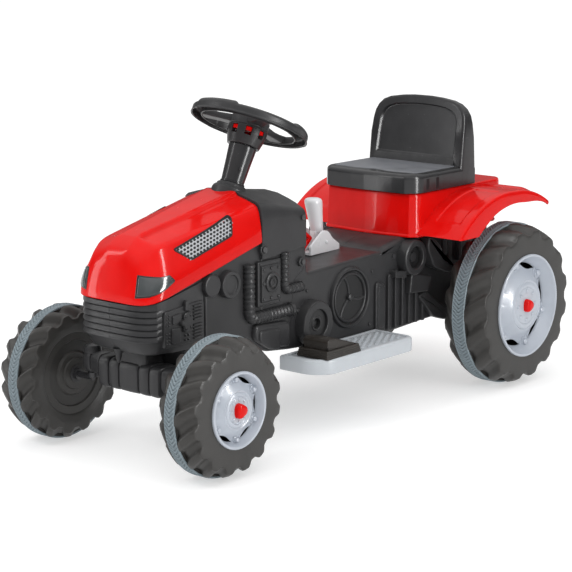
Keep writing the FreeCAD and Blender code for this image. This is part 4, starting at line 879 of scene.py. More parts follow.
def mesh_cells(form, point_of, outline, lift):
    """Perforated sheet: rows of slots, every other row shifted half a slot."""
    wide, tall = SLOT_PITCH
    along = Vector((math.cos(SLOT_SLOPE), math.sin(SLOT_SLOPE)))
    up = Vector((-math.sin(SLOT_SLOPE), math.cos(SLOT_SLOPE)))
    marks = [(-1, -1), (0, -1), (1, -1), (1, 0), (1, 1), (0, 1), (-1, 1), (-1, 0)]
    faces = []
    for k in range(8):
        n = (k + 1) % 8
        faces += [(k, n, n + 8, k + 8), (k + 24, n + 24, n + 16, k + 16), (k + 8, n + 8, n + 24, k + 24),
                  (n, k, k + 16, n + 16)]
    for row in range(-9, 10):
        for column in range(-14, 15):
            middle = SLOT_MIDDLE + along * wide * (column + 0.5 * (row % 2)) + up * tall * row
            if not inside(outline, middle, 1.5):
                continue
            points = []
            for level in (lift, lift - SHEET):
                spots = [middle + along * (u * wide / 2) + up * (v * tall / 2) for u, v in marks]
                for u, v in marks:
                    size = 0.72 if u and v else 1.0
                    spots.append(middle + along * (u * SLOT_HALF[0] * size) + up * (v * SLOT_HALF[1] * size))
                points += [point_of(spot.x, spot.y, level) for spot in spots]
            form.add(points, faces)


vent_mesh, vent_back, vent_frame = Form(), Form(), Form()
for _, sign in SIDES:
    point_of = vent_point(sign)
    border = spread(rounded(VENT, 4.0, 3), 4)
    vent_back.join(skin_patch(border, point_of, -0.8, 0.3, 0.02))
    mesh_cells(vent_mesh, point_of, VENT, 1.0)
    rings = []
    for drawn, lift in ((-1.2, -0.6), (-1.0, 1.0), (0.2, 1.5), (1.6, 1.3), (2.0, 0.3), (1.4, -0.6)):
        rings.append([point_of(u, v, lift) for u, v in inset(border, drawn)])
    vent_frame.loft(rings, around=True)
piece("vent_mesh", vent_mesh, mesh_silver, "chassis", "vent_film", ["hood_vents"], angle=50)
piece("vent_backing", vent_back, mesh_dark, "chassis", "vent_film", angle=50)
piece("vent_frame", vent_frame, mesh_dark, "chassis", "vent_film", angle=50)

# Moulded body

BODY_HALF = 82.0
CHEEK_OUT = 83.0
DASH_OUT = 88.0
SEAM = 0.25
BODY = [(-335, 182, 3), (-250, 178), (-192, 141, 12), (-130, 134), (140, 116, 12), (250, 121),
        (425, 124, 14), (440, 150, 14), (440, 279, 2), (178, 279, 2), (176, 266), (-86, 256, 8),
        (-91, 336, 2), (-204.5, 336, 2), (-206.5, 331, 3), (-335, 297.2, 2)]
# Section of the dash cover at the hood and at its rear, from the side up to the middle
DASH_FRONT = [(88, 345), (87.2, 362), (84.6, 376), (80.5, 384), (75, 388.5), (56, 394), (38, 398.5),
              (30, 401.5), (0, 402)]
DASH_REAR = [(88, 345), (87.5, 353), (86.4, 359), (84.4, 363), (80.5, 366), (66, 373.5), (50, 379.5),
             (28, 386), (0, 389)]
DASH_START, DASH_LONG = -204.5, 112.0
CHEEK = [(-204.5, 152, 10), (-192, 146, 10), (-131, 140, 10), (-118, 250, 12), (-92.5, 262, 8),
         (-92.5, 330, 2), (-204.5, 330, 2)]


def hose_path(y, top, low, end, bend, x):
    """Down the side, round a bend and back along the tractor."""
    path = [(x, y, top - (top - low - bend) * k / 40) for k in range(40)]
    for k in range(17):
        angle = math.pi / 2 * k / 16
        path.append((x, y + bend * (1 - math.cos(angle)), low + bend * (1 - math.sin(angle))))
    path += [(x, y + bend + (end - y - bend) * k / 40, low) for k in range(1, 41)]
    return path


def ribbed(radius, rib, pitch):
    """Radius of a ribbed hose by the distance run."""
    return lambda run: radius + rib * eased(0.5 + 0.9 * math.sin(2 * math.pi * run / pitch))


def body_shell():
    """Main halves of the body with the cheek panels, the crowned dash cover and the guard under the nose."""
    form = Form()
    form.slab(rounded(BODY, 6, 4), side_view, SEAM, BODY_HALF, 4.0)
    form.slab(rounded(CHEEK, 6, 4), side_view, BODY_HALF - 6, CHEEK_OUT, 4.0)
    form.slab(rounded([(-372, 120, 5), (-328, 120, 5), (-328, 186, 2), (-372, 186, 2)], 4, 3), side_view,
              SEAM, 70, 3.0)
    form.slab(rounded([(-345, 186), (-328, 186), (-328, 280), (-345, 274)], 2, 2), side_view, SEAM, 77, 1.0)
    rings = []
    for y, drawn in ((DASH_START, 0.8), (-203.6, 0.0), (-180, 0.0), (-160, 0.0), (-140, 0.0), (-120, 0.0),
                     (-98, 0.0), (-94, 1.0), (-92.3, 3.0)):
        share = (y - DASH_START) / DASH_LONG
        low = mixed(295.5, 302.4, share)
        half = [(SEAM, low)] + [(DASH_OUT - edge - drawn, low + rise)
                                for edge, rise in ((3, 0), (0.8, 0.6), (0, 2.6))]
        for (wide, high), (rear_wide, rear_high) in zip(DASH_FRONT, DASH_REAR):
            half.append((max(SEAM, mixed(wide, rear_wide, share) - drawn),
                         mixed(high, rear_high, share) - drawn))
        rings.append([(u, y, v) for u, v in half])
    return form.loft(rings)


NOSE_PLAN = [(0.0, -459.0), (18.0, -458.8), (36.0, -458.0), (50.0, -456.6), (61.0, -452.5), (70.0, -445.5),
             (76.5, -437.0), (79.2, -431.5), (81.0, -424.0), (82.0, -414.0), (82.0, -400.0), (82.0, -338.5)]
NOSE_LOW, NOSE_BEND, NOSE_HIGH = 176.0, 250.0, 257.0
# Lower edge of the hood at its front, and its slope towards the rear
HOOD_EDGE_Y, HOOD_EDGE_Z, HOOD_EDGE_SLOPE = -460.0, 257.6, 0.2588
SLAT_LOW, SLAT_PITCH, SLATS = 199.6, 9.92, 5
SLAT_DEPTH = 4.4


def nose_form():
    """Nose block: louvres like shingles round the front, a plain chin below that draws in."""
    levels = [(NOSE_LOW, 26.0, 0.0), (NOSE_LOW + 0.6, 16.0, 0.0), (NOSE_LOW + 3.0, 12.0, 0.0),
              (NOSE_LOW + 11.0, 6.5, 0.0), (NOSE_LOW + 20.0, 1.6, 0.0), (NOSE_LOW + 23.0, 0.4, 0.0)]
    for slat in range(SLATS):
        start = SLAT_LOW + slat * SLAT_PITCH
        for rise, out in ((0.0, 0.0), (0.25, 0.8), (0.9, 1.0), (3.5, 0.9), (7.0, 0.55), (9.2, 0.15),
                          (9.6, 0.0)):
            levels.append((start + rise, 0.0, out))
    levels += [(SLAT_LOW + SLATS * SLAT_PITCH + 0.3, 0.0, 0.9), (NOSE_HIGH - 1.5, 0.0, 0.7),
               (NOSE_HIGH - 1.2, 6.0, 0.0), (NOSE_HIGH, 6.0, 0.0)]
    rings = []
    for level, drawn, out in levels:
        ring = []
        for index, (x, y) in enumerate(NOSE_PLAN):
            ahead = Vector(NOSE_PLAN[min(index + 1, len(NOSE_PLAN) - 1)])
            behind = Vector(NOSE_PLAN[max(index - 1, 0)])
            run = (ahead - behind).normalized()
            fade = 1.0 if y < -434 else 0.0
            shift = SLAT_DEPTH * out * fade - drawn * (1.0 if y < -410 else 0.5)
            rise = max(0.0, level - NOSE_BEND) / (NOSE_HIGH - NOSE_BEND)
            line = HOOD_EDGE_Z + (y - HOOD_EDGE_Y) * HOOD_EDGE_SLOPE
            ring.append((max(SEAM, x + run.y * shift), y - run.x * shift,
                         mixed(level, level + line - NOSE_HIGH, rise)))
        ring.append((SEAM, ring[-1][1], ring[-1][2]))
        rings.append(ring)
    return Form().loft(rings)


def wall_ring(form, y, z, profile, steps=48):
    """Turned detail on the side of the body: (height off the side, radius) pairs."""
    return form.lathe([(BODY_HALF + along, r) for along, r in profile], about_x((0.0, y, z)), steps)


def ridge(form, corners, low, high, edge=1.2):
    """Raised strip or panel on the side of the body."""
    return form.slab(rounded(corners, 2.5, 3), side_view, low, high, edge)


def studs(form, profile, steps, *places):
    """The same turned stud at several places on the side of the body."""
    for y, z in places:
        form.lathe(profile, about_x((0.0, y, z)), steps)


def fin_heights(starts, count):
    """Heights of the fins or bolts in rows that start at given heights."""
    return [start + 5.2 * k for start in starts for k in range(count)]


def filter_details(form):
    """Two filter cans below the hood."""
    wall_ring(form, -324, 272, [(-3, 18.4), (6.6, 18), (7.8, 17.2), (8.3, 15.8), (8.0, 14.6), (7.8, 4)])
    wall_ring(form, -284, 268, [(-3, 22.6), (9.6, 22), (11.2, 20.9), (11.7, 19.2), (11.2, 16), (9.0, 14.6),
                                (8.6, 13.4), (8.6, 5)])


def engine_details(form):
    """Engine block on the side of the nose: plate, fin packs, a cover with bolts, a filler and bolt rows."""
    ridge(form, [(-428, 189, 4), (-339.5, 189, 6), (-339.5, 253, 8), (-428, 246, 4)], 79, 84.4)
    for z in fin_heights((194, 224), 5):
        ridge(form, [(-365, z), (-346, z + 0.8), (-346, z + 3.4), (-365, z + 2.6)], 83, 87.6, 1.0)
    ridge(form, [(-389, 208, 4), (-369, 209, 4), (-369, 241, 7), (-389, 239, 7)], 83, 88.6, 1.6)
    studs(form, [(88, 2.3), (89.6, 2.2), (90, 1.4), (89.2, 1.0), (89.0, 0.4)], 10,
          (-384.5, 214), (-373.5, 215), (-384.5, 233), (-373.5, 234))
    ridge(form, [(-386, 242, 2), (-376, 243, 2), (-378, 258, 3), (-385, 257, 3)], 83, 89.0, 1.4)
    ridge(form, [(-412, 224, 3), (-393, 226, 3), (-393, 240, 3), (-412, 238, 3)], 83, 87, 1.2)
    ridge(form, [(-414, 194, 3), (-395, 195, 3), (-395, 219, 3), (-414, 218, 3)], 83, 87, 1.2)
    studs(form, [(83, 5.6), (89.4, 5.2), (91.2, 4), (91.6, 1)], 16, (-391, 224))
    studs(form, [(81, 1.8), (85.4, 1.7), (86.0, 0.9)], 8,
          *[(y, z) for z in fin_heights((195, 224), 4) for y in (-424, -418.5)])
    studs(form, [(83, 2.0), (86.6, 1.9), (87.2, 1.0)], 8, *oblong(-383, 196, -376, 203))


def hose_details(form):
    """Ribbed hoses round a flange plate below the dash."""
    form.sweep(hose_path(-236, 292, 203, -138, 14, 86.0), ribbed(8.8, 1.4, 8.2))
    form.sweep(hose_path(-149, 300, 237, -104, 12, 86.0), ribbed(7.2, 1.2, 7.2))
    form.lathe([(-138, 11.6), (-131, 11.6), (-129, 9), (-129, 2)],
               lambda along, u, v: (86.0 + u, along, 203 + v), 20)
    studs(form, [(82, 8.4), (87.4, 8), (88, 6.6), (88, 2)], 24, (-104.0, 278.0))
    ridge(form, oblong(-217, 219, -160, 293), 80, 89.0, 2.0)
    ridge(form, oblong(-211, 226, -164, 286), 88, 92.4, 2.5)
    studs(form, [(91, 17), (94.6, 16.6), (95.4, 15), (94.8, 11.5), (92.8, 10.6), (92.8, 8), (95.0, 7.4),
                 (95.4, 5), (93.8, 3.6), (93.6, 1)], 32, (-186, 257))
    studs(form, [(91, 3.0), (94.0, 2.8), (94.6, 1.5)], 10,
          (-206, 232), (-170, 232), (-206, 280), (-170, 280), (-206, 257), (-188, 232), (-188, 281))
    ridge(form, [(-226, 168, 10), (-192, 148, 10), (-137, 142, 10), (-137, 186, 12), (-226, 192, 12)], 79,
          91, 5.0)
    ridge(form, [(-218, 163, 8), (-190, 146, 8), (-166, 143, 8), (-166, 178, 8), (-218, 182, 8)], 88, 94, 3.0)


def drive_details(form):
    """Pump boss, flywheel and arched panel along the tunnel."""
    form.ring([(86.5, 6.0), (88.8, 6.0), (89.2, 7), (88.8, 8.4), (86.5, 8.8)],
              about_x((0.0, -201.0, 312.0)), 28)
    wall_ring(form, -78, 171, [(-3, 39.4), (16.5, 38.6), (18.8, 37.2), (19.5, 35), (19.3, 26), (18.4, 24.6),
                               (14.4, 23.6), (14.0, 13), (15.2, 11.8), (15.0, 9.2), (8, 8.4), (7.6, 4.6),
                               (10, 4), (10.4, 2)], 56)
    wall_ring(form, 26, 197, [(-3, 54), (2.2, 53), (5.6, 51.4), (6.2, 49.5), (5.4, 47.4), (1.8, 46),
                              (1.4, 44.2), (4.0, 43), (4.6, 41.2), (3.8, 39.6), (0.6, 38.4), (0.4, 7),
                              (5, 6.2), (6.4, 4.5), (6.8, 2)], 64)
    for turn in (100, 220, 340):
        path = []
        for index in range(12):
            share = index / 11
            bent = math.radians(turn) + 0.22 * share * share
            path.append(polar(about_x((BODY_HALF + 0.8, 26, 197)), 0, mixed(4.0, 39.0, share), bent))
        form.sweep(path, lambda run: 2.2, 8)
    ridge(form, [(96, 124, 4), (124, 122, 4), (124, 206, 12), (96, 214, 12)], 80, 87, 2.5)
    ridge(form, [(101, 130, 3), (119, 129, 3), (119, 200, 9), (101, 206, 9)], 86, 88.5, 1.5)
    arch = [(107, 252, 2), (109, 263, 4), (124, 270, 14), (156, 279, 20), (190, 281, 3), (190, 252, 2)]
    form.slab(rounded(arch, 6, 6), side_view, SEAM, BODY_HALF + 1.0, 9.0, steps=6)
    studs(form, [(80, 3.2), (84, 3.0), (84.8, 1.6)], 12, (-110, 196), (-86, 226), (84, 140), (90, 232),
          (-20, 130))


def rear_details(form):
    """Finned gear casing, brake drum with its dog-leg lever, hangers and the axle tube on the left."""
    for fin in range(6):
        y, top = 130 + 20 * fin, 226 - 5 * abs(fin - 1)
        ridge(form, [(y, 122), (y + 8, 122), (y + 8, top, 4), (y, top, 4)], 80, 88, 1.8)
    wall_ring(form, 192, 244, [(-3, 33), (16, 32.2), (19, 31), (20.4, 29), (20.2, 21.4), (19.2, 20.2),
                               (10.4, 19.4), (10, 9), (12.4, 8.2), (13, 6), (12.2, 2.4)])
    ridge(form, [(140, 214, 2), (172, 210, 2), (172, 222, 2), (140, 226, 2)], 80, 96, 1.4)
    ridge(form, [(180, 180, 5), (236, 176, 5), (246, 202, 5), (186, 216, 5)], 80, 97, 3.0)
    lever = [(226, 276, 3), (246, 269, 8), (265, 252, 8), (267, 235, 8), (317, 209, 3), (317, 202, 3),
             (282, 205, 8), (242, 220, 10), (233, 237, 6), (222, 258, 6)]
    form.slab(rounded(lever, 6, 4), side_view, 84, 105, 3.0, 2.0)
    for y, z in ((292, 232), (306, 214), (338, 216)):
        ridge(form, [(y, z, 2), (y + 11, z, 2), (y + 11, 277, 2), (y, 277, 2)], 80, 89, 1.8)
    form.slab(rounded([(214, 170, 6), (236, 176, 6), (318, 124, 8), (300, 112, 8), (262, 124, 6)], 6, 3),
              side_view, 78, 92, 3.0)
    studs(form, [(78, 24), (92, 22), (94, 18), (118, 17), (122, 16.2), (130.6, 16)], 40, (AXLE_Y, AXLE_Z))


shared_details = Form()
for make in (filter_details, engine_details, hose_details, drive_details):
    make(shared_details)
left_details = Form()
rear_details(left_details)
shell = body_shell().join(nose_form())
left_body = Form().join(shell).join(shared_details).join(left_details)
right_body = Form().join(shell).join(shared_details).mirrored()
look("body_left", left_body, charcoal, "black_plastic", angle=32)
look("body_right", right_body, charcoal, "black_plastic", angle=32)

# Steering column and wheel

COLUMN_FOOT = -106.6


def on_column(rows):
    """Heights above the foot of the column, with their radii, as places along it."""
    return [(COLUMN_FOOT + rise, radius) for rise, radius in rows]


def screw_place(along, u, v):
    """Points about the screw in the side of the column tube."""
    return tuple(Vector(raked(-72, along * 0.82, -along * 0.5)) + Vector((u * 0.5, u * 0.8, v)))


collar = Form().lathe(on_column([(-16, 30.5), (-1.5, 30.5), (0, 29.6), (2, 29), (4, 27.4), (5, 25.0),
                                 (8.2, 24.2), (9.6, 22.6), (9.6, 8)]), raked, 56)
look("column_collar", collar, charcoal, "black_plastic", angle=40)
column = Form().lathe(on_column([(9.0, 18.5), (11, 20.6), (13, 20.8), (14, 19.2)])
                      + [(-60, 21.2), (-33.5, 23.2), (-32, 22.6), (-32, 8)], raked, 56)
column.lathe([(22.0, 3.0), (23.4, 2.6), (23.8, 1.0)], screw_place, 12)
look("column_tube", column, seat_gloss, "black_plastic", angle=40)

WHEEL_RADIUS = 99.0
GRIPS = (30, 150, 270)
GRIP_HALF = math.radians(25)
WHEEL_SPOKES = (90, 210, 330)


def wheel_form():
    """Steering wheel: rim hollow below with raised grips, three spokes and a hub ring."""
    form = Form()
    middle, half_height = -10.5, 10
    section = rounded([(-21, 1.6), (-18.6, 1.6), (-17.6, 12, 3), (-14.6, 15, 3), (-6.4, 15, 3),
                       (-3.4, 12, 3), (-2.2, 2.2), (0.6, 0.2), (1.4, 1.8), (0, 3.8, 1.5), (0, 14, 6),
                       (-6, 20, 7), (-16, 20, 5), (-21, 15, 5)], 0.8, 3)
    rings = []
    for angle in round_angles(240):
        grip = max(eased((math.cos(angle - math.radians(turn)) - math.cos(GRIP_HALF)) / 0.012)
                   for turn in GRIPS)
        swell, lift = mixed(0.87, 1.0, grip), mixed(0.64, 1.0, grip)
        ring = []
        for u, v in section:
            reach = WHEEL_RADIUS - 0.4 + middle + (u - middle) * swell
            height = half_height + (v - half_height) * (lift if v > half_height else 1.0)
            ring.append(polar(raked, height, reach, angle))
        rings.append(ring)
    form.loft(rings, around=True)
    form.ring([(0.6, 22.8), (0.6, 32), (2, 33), (14, 33), (16, 31), (16, 24), (14.6, 22.8)], raked, 56)
    for turn in WHEEL_SPOKES:
        across, along = math.sin(math.radians(turn)), math.cos(math.radians(turn))
        rings = []
        for reach, half, low, high in ((28, 15, 3, 15), (38, 14, 3, 14.6), (52, 12.6, 3.4, 13.6),
                                       (66, 13, 3.2, 14), (80, 15.5, 2.6, 15.4)):
            outline = rounded(oblong(-half, low, half, high), 3, 3)
            rings.append([raked(v, reach * along - u * across, reach * across + u * along)
                          for u, v in outline])
        form.loft(rings)
    return form


look("steering_wheel", wheel_form(), charcoal, "black_plastic", "steering")

# Seat box, fenders and seat

BOX_LOW = 279.0
BOX_REAR_LEAN = 27.0
FENDER_RADIUS = 205.0
FENDER_ENDS = (59.0, 141.6)
FENDER_OPENING = 18.0
FENDER_FLOOR = 283.8
FENDER_IN, FENDER_OUT = 101.0, 195.0
FENDER_WALL = 4.4


def box_form():
    """Seat box with a bowed front, walls that lean in and a lip round the foot."""
    bow = [(x, 172.5 + 8.5 * (x / 92.0) ** 2) for x in (-92, -70, -46, -23, 0, 23, 46, 70, 92)]
    plan = [(*spot, 2) for spot in bow] + [(105, 197, 14), (105, 448, 12), (89, 467.5, 12), (-89, 467.5, 12),
                                           (-105, 448, 12), (-105, 197, 14)]
    outline = rounded(plan, 2, 4)
    rings = []
    for drawn, level in ((2.0, 0.0), (0.0, 0.5), (-1.2, 1.6), (-1.2, 4.0), (0.0, 5.4), (1.0, 6.4),
                         (2.2, 40.0), (3.6, 72.0), (4.4, 75.4), (6.2, 77.2), (9.0, 77.7)):
        lean = BOX_REAR_LEAN * (1 - min(1.0, level / 45.0))
        rings.append([(u, v - lean * max(0.0, (v - 400.0) / 67.0), BOX_LOW + level)
                      for u, v in inset(outline, drawn)])
    return Form().loft(rings)


def fender_skin(share_across, share_round):
    """Place across and radius of a point of the fender top, with its recessed panel and rear pad."""
    x = mixed(FENDER_IN, FENDER_OUT, share_across)
    panel = min(eased((share_across - 0.22) / 0.04), eased((0.80 - share_across) / 0.04),
                eased((share_round - 0.46) / 0.03), eased((0.90 - share_round) / 0.03))
    pad = min(eased((x - 106.0) / 10.0), eased((176.0 - x) / 12.0), eased((share_round - 0.02) / 0.07),
              eased((0.26 - share_round) / 0.08))
    radius = FENDER_RADIUS + FENDER_OPENING * max(0.0, (share_round - 0.38) / 0.62)
    return x, radius - 2.4 * panel + 6.0 * pad


def fender_form():
    """Arched fender with a bare recessed panel and a turned-down outer strip, cut level in front."""
    wide, long = 48, 96
    rings = []
    for j in range(long + 1):
        share = j / long
        turn = math.radians(mixed(*FENDER_ENDS, share))
        skin = [fender_skin(i / wide, share) for i in range(wide + 1)]
        ring = []
        for x, radius in skin:
            roll = max(0.0, (x - 189.0) / 6.0)
            ring.append((x, radius - 5.0 * (1 - math.sqrt(max(0.0, 1 - roll * roll)))))
        skirt = mixed(9.0, 22.0, eased(share / 0.3)) + 2.0 * eased((share - 0.62) / 0.14)
        foot = FENDER_RADIUS - skirt
        ring += [(FENDER_OUT, FENDER_RADIUS - skirt * 0.5), (FENDER_OUT, foot + 1), (194.2, foot),
                 (192.0, foot), (191.6, foot + 1), (191.6, FENDER_RADIUS - 8.4)]
        ring += [(min(x, 191.0), radius - FENDER_WALL) for x, radius in skin[wide - 2::-1]]
        rings.append([(x, AXLE_Y + reach * math.cos(turn), max(FENDER_FLOOR, AXLE_Z + reach * math.sin(turn)))
                      for x, reach in ring])
    return Form().loft(rings)


rear = box_form()
fender = fender_form()
rear.join(fender).join(fender.mirrored())
look("rear_body", rear, red, "red_plastic", angle=30)


def seat_base():
    """Glossy skirt with a bowed front and a rolled top edge."""
    front = [(x, 170.0 + 5.0 * (x / 86.0) ** 2, 2) for x in (-86, -60, -30, 0, 30, 60, 86)]
    outline = rounded(front + [(105.2, 195, 26), (105.2, 364, 3), (-105.2, 364, 3), (-105.2, 195, 26)], 2, 6)
    return Form().slab(outline, plan_view, 357.2, 391.0, 9.0, 0.8, steps=5)


def seat_pad():
    """Grained pad whose front border waves, crowned towards its middle."""
    waves = 40
    border = []
    for index in range(waves + 1):
        x = mixed(-88.0, 88.0, index / waves)
        border.append((x, 198.0 + 5.0 * math.cos(2 * math.pi * x / 88.0) * (1 - abs(x) / 100.0)))
    outline = rounded(border + [(92, 214, 8), (92, 318, 4), (-92, 318, 4), (-92, 214, 8)], 1, 2)
    rings = []
    for drawn, level in ((-1.0, 390.0), (0.0, 391.6), (1.2, 392.3), (4.0, 392.7), (12.0, 393.2),
                         (26.0, 393.6)):
        rings.append([(x * (1 - drawn / 92.0), 260 + (y - 260) * (1 - drawn / 60.0), level)
                      for x, y in outline])
    return Form().loft(rings)


def seat_back():
    """Back rest: rounded shoulders, a frame round a recessed panel, and a ledge above the pad."""
    outline = both_sides([(105.5, 358), (105.5, 440), (103.5, 466), (100.5, 480), (94.5, 491), (85, 499.5),
                          (70, 505.2), (45, 509), (20, 510.8), (0, 511)])
    panel = both_sides([(88, 404), (88, 440), (87, 462), (84.5, 474), (79, 483), (71, 489), (58, 493.4),
                        (38, 496), (18, 497), (0, 497.4)])
    # Height, front face and rear face
    lean = [(358, 315, 366), (398, 315, 364.5), (486, 333, 356), (511, 338.5, 347.5)]

    def ring(border, drawn, front_share, shift=0.0):
        """A border drawn in, between the rear face and the front one, then shifted back."""
        spots = []
        for u, v in inset(border, drawn) if drawn else border:
            front, rear = table(lean, v)
            spots.append((u, mixed(rear, front, front_share) + shift, v))
        return spots

    rings = [ring(outline, *row)
             for row in ((7.0, 0.0), (2.2, 0.02), (0.0, 0.16), (0.0, 0.8), (1.2, 0.93), (3.6, 0.99),
                         (6.0, 1.0))]
    rings += [ring(panel, *row) for row in ((0.0, 1.0), (1.0, 1.0, 0.8), (3.2, 1.0, 4.6), (5.0, 1.0, 5.2))]
    ledge = [(316.2, 404), (313, 399), (310, 394), (308, 388), (330, 388), (330, 404)]
    bars = []
    for x, drawn in ((-90, 3.0), (-86, 0.0), (86, 0.0), (90, 3.0)):
        bars.append([(x, y + (drawn if y < 320 else 0), z) for y, z in ledge])
    return Form().loft(rings).loft(bars)


piece("seat_shell_look", seat_base().join(seat_back()), seat_gloss, "chassis", "seat_plastic", ["seat"])
slots = Form()
for y in (218.0, 247.0):
    slots.slab(rounded(oblong(y - 4, 362, y + 4, 381), 1.5, 2), side_view, 103.0, 105.6, 0.3)
piece("seat_latch_slots", slots.join(slots.mirrored()), mesh_dark, "chassis", "seat_plastic")
piece("seat_pad_look", seat_pad(), seat_grain, "chassis", "seat_plastic", angle=40)

# Footrests, pedal and axle beam

STEP_LOW, STEP_HIGH = 105.0, 130.0


def footrest_form():
    """Tray with a raised border and a field of lozenges behind the pedal."""
    outline = rounded([(82.3, -157, 2), (144, -157, 16), (172, -133, 16), (172, 98, 20), (82.3, 98, 2)], 8, 6)
    low = [(drawn, STEP_LOW + rise) for drawn, rise in ((8, 0), (2.4, 0), (0.7, 0.9), (0, 3.2))]
    high = [(drawn, STEP_HIGH - drop)
            for drawn, drop in ((0, 5), (0.5, 2.8), (1.8, 1), (3.6, 0.15), (5, 0), (8, 0), (8.8, 0.4),
                                (9.4, 2.2), (11.6, 2.2))]
    form = Form().loft(terraces(outline, low + high))
    pitch = 11.6
    field = inset(outline, 11.0)
    for row in range(-2, 16):
        for column in range(9):
            x = 90.0 + pitch * column + (pitch / 2 if row % 2 else 0)
            y = -40.0 + pitch * 0.86 * row
            if y > -38 and all(inside(field, (x + u, y + v)) for u, v in ((5, 0), (-5, 0), (0, 4), (0, -4))):
                lozenge = [(x - 4.2, y), (x, y - 2.9), (x + 4.2, y), (x, y + 2.9)]
                form.slab(rounded(lozenge, 1.0, 2), plan_view, STEP_HIGH - 3.0, STEP_HIGH + 0.3, 0.8, steps=2)
    return form


footrest = footrest_form()
for side, sign in SIDES:
    look("footrest_" + side, footrest if sign > 0 else footrest.mirrored(), pale_grey, "step_plastic",
         angle=32)

PEDAL_LEFT, PEDAL_RIGHT = 109.5, 161.5


def housing_form():
    """Terraced pedal housing, open above."""
    outline = rounded(oblong(102.5, -138, 168.5, -48), 4, 4)
    mouth = rounded(oblong(108.6, -131, 162.4, -55), 2, 4)
    rings = terraces(outline, ((3.0, 130.0), (0.0, 130.0), (0.0, 132.4), (0.9, 132.9), (0.9, 135.6),
                               (1.8, 136.1), (1.8, 138.8), (2.7, 139.3), (2.7, 142.0), (3.6, 142.9)))
    return Form().loft(rings + terraces(mouth, ((0.0, 142.9), (0.0, 132.2))))


def pedal_form():
    """Sloped pedal plate with ridges, and skirts that hide the gap over the housing."""
    form = Form()
    wedge = [(-129, 147, 1), (-129, 157, 2), (-123, 161, 2), (-104, 159, 4), (-59, 144, 2), (-56.5, 141, 1),
             (-56.5, 137, 1), (-61, 134.5, 1), (-64, 134.5, 1)]
    form.slab(rounded(wedge, 1.5, 3), side_view, PEDAL_LEFT, PEDAL_RIGHT, 1.4, 1.4)
    skirt = rounded([(-128.6, 142.5), (-128.6, 150), (-66, 140), (-66, 135)], 0.6, 2)
    for low in (PEDAL_LEFT + 0.2, PEDAL_RIGHT - 2.4):
        form.slab(skirt, side_view, low, low + 2.2, 0.4)
    form.slab(rounded(oblong(PEDAL_LEFT + 0.2, 142.5, PEDAL_RIGHT - 0.2, 150), 0.6, 2), front_view, -128.6,
              -126.2, 0.4)
    for y in range(-100, -66, 8):
        high = mixed(159, 144, (y + 104) / 45.0)
        form.slab(rounded(oblong(PEDAL_LEFT + 5, y - 1.3, PEDAL_RIGHT - 5, y + 1.3), 1, 2), plan_view,
                  high - 2.5, high + 0.9, 0.6, steps=2)
    return form


look("pedal_housing", housing_form(), brown_black, "pedal_plastic", angle=32)
look("pedal", pedal_form(), brown_black, "pedal_plastic", "accelerator", angle=32)

LEVER_X, LEVER_Y, LEVER_Z = -17.0, 56.0, 280.0
PIN = 3.0


def bracket_form():
    """White lever bracket: two humped cheeks bored for the pin, on a floor with a slot."""
    form = Form()
    cheek = rounded([(14, 261.2, 1), (93, 262.4, 1), (93, 272, 3), (73, 285, 6), (67, 293, 5), (60, 299, 6),
                     (52, 300.4, 7), (44, 298, 6), (14, 277, 3)], 3, 4)
    bore = []
    for u, v in cheek:
        turn = math.atan2(v - LEVER_Z, u - LEVER_Y)
        bore.append(polar(about_x((0, LEVER_Y, LEVER_Z)), 0, PIN + 0.35, turn)[1:])
    for low in (LEVER_X - 25, LEVER_X + 20):
        rings = []
        for outline, drawn, level in ((bore, 0.0, 0.0), (cheek, 0.8, 0.0), (cheek, 0.0, 0.8),
                                      (cheek, 0.0, 4.0), (cheek, 0.3, 4.7), (cheek, 1.0, 5.0),
                                      (bore, 0.0, 5.0)):
            rings.append([(low + level, u, v) for u, v in (inset(outline, drawn) if drawn else outline)])
        form.loft(rings, around=True)
    for floor_part in ((-38, 14, 4, 33), (-38, 79, 4, 93), (-38, 33, -27, 79), (-7, 33, 4, 79)):
        form.slab(oblong(*floor_part), plan_view, 261.4, 266.2, 0.4, steps=1)
    return form


def lever_form():
    """Round white grip that leans forward, its stem, tail and pin."""
    form = Form()

    def leaning(along, u, v):
        """Points about the grip, which leans 10 mm forward over its height."""
        return (LEVER_X + u, mixed(60.0, 50.0, (along - 297.0) / 56.0) + v, along)

    form.lathe([(290, 8), (294, 10.4), (298, 11.4), (315, 12.6), (335, 14.4), (346, 15.6), (350, 15.4),
                (353, 13.8), (354.6, 11), (355.2, 6), (355.3, 1)], leaning, 40)
    form.slab(rounded(oblong(LEVER_X - 7, 48, LEVER_X + 7, 65), 3, 3), plan_view, 271, 297, 1.0, 1.0)
    form.slab(rounded(oblong(LEVER_X - 5, 52, LEVER_X + 5, 60), 2, 3), plan_view, 254, 273, 1.0, 1.0)
    form.lathe([(-28, PIN - 1), (-27, PIN), (27, PIN), (28, PIN - 1), (28.2, 1)],
               about_x((LEVER_X, LEVER_Y, LEVER_Z)), 20)
    return form


look("shift_bracket", bracket_form(), white, "white_plastic")
look("gear_lever", lever_form(), white, "white_plastic", "shifter", angle=40)
LATCH = [(15, 262, 0.5), (15, 270, 2), (14, 275, 2), (30, 287, 2), (14, 299, 2), (18, 303, 2), (38, 289, 3),
         (38, 285, 3), (20, 270, 2), (20, 262, 0.5)]
latch = Form().slab(rounded(LATCH, 2, 3), side_view, LEVER_X - 6, LEVER_X + 8, 1.0, 1.0)
look("shift_latch", latch, red, "red_plastic")

BEAM_BLOCKS = [(-114, -92), (-90.5, -69), (-67.5, -45), (-43.5, -22), (-20.5, 20.5), (22, 43.5), (45, 67.5),
               (69, 90.5), (92, 114)]
BEAM_Y = -403.0


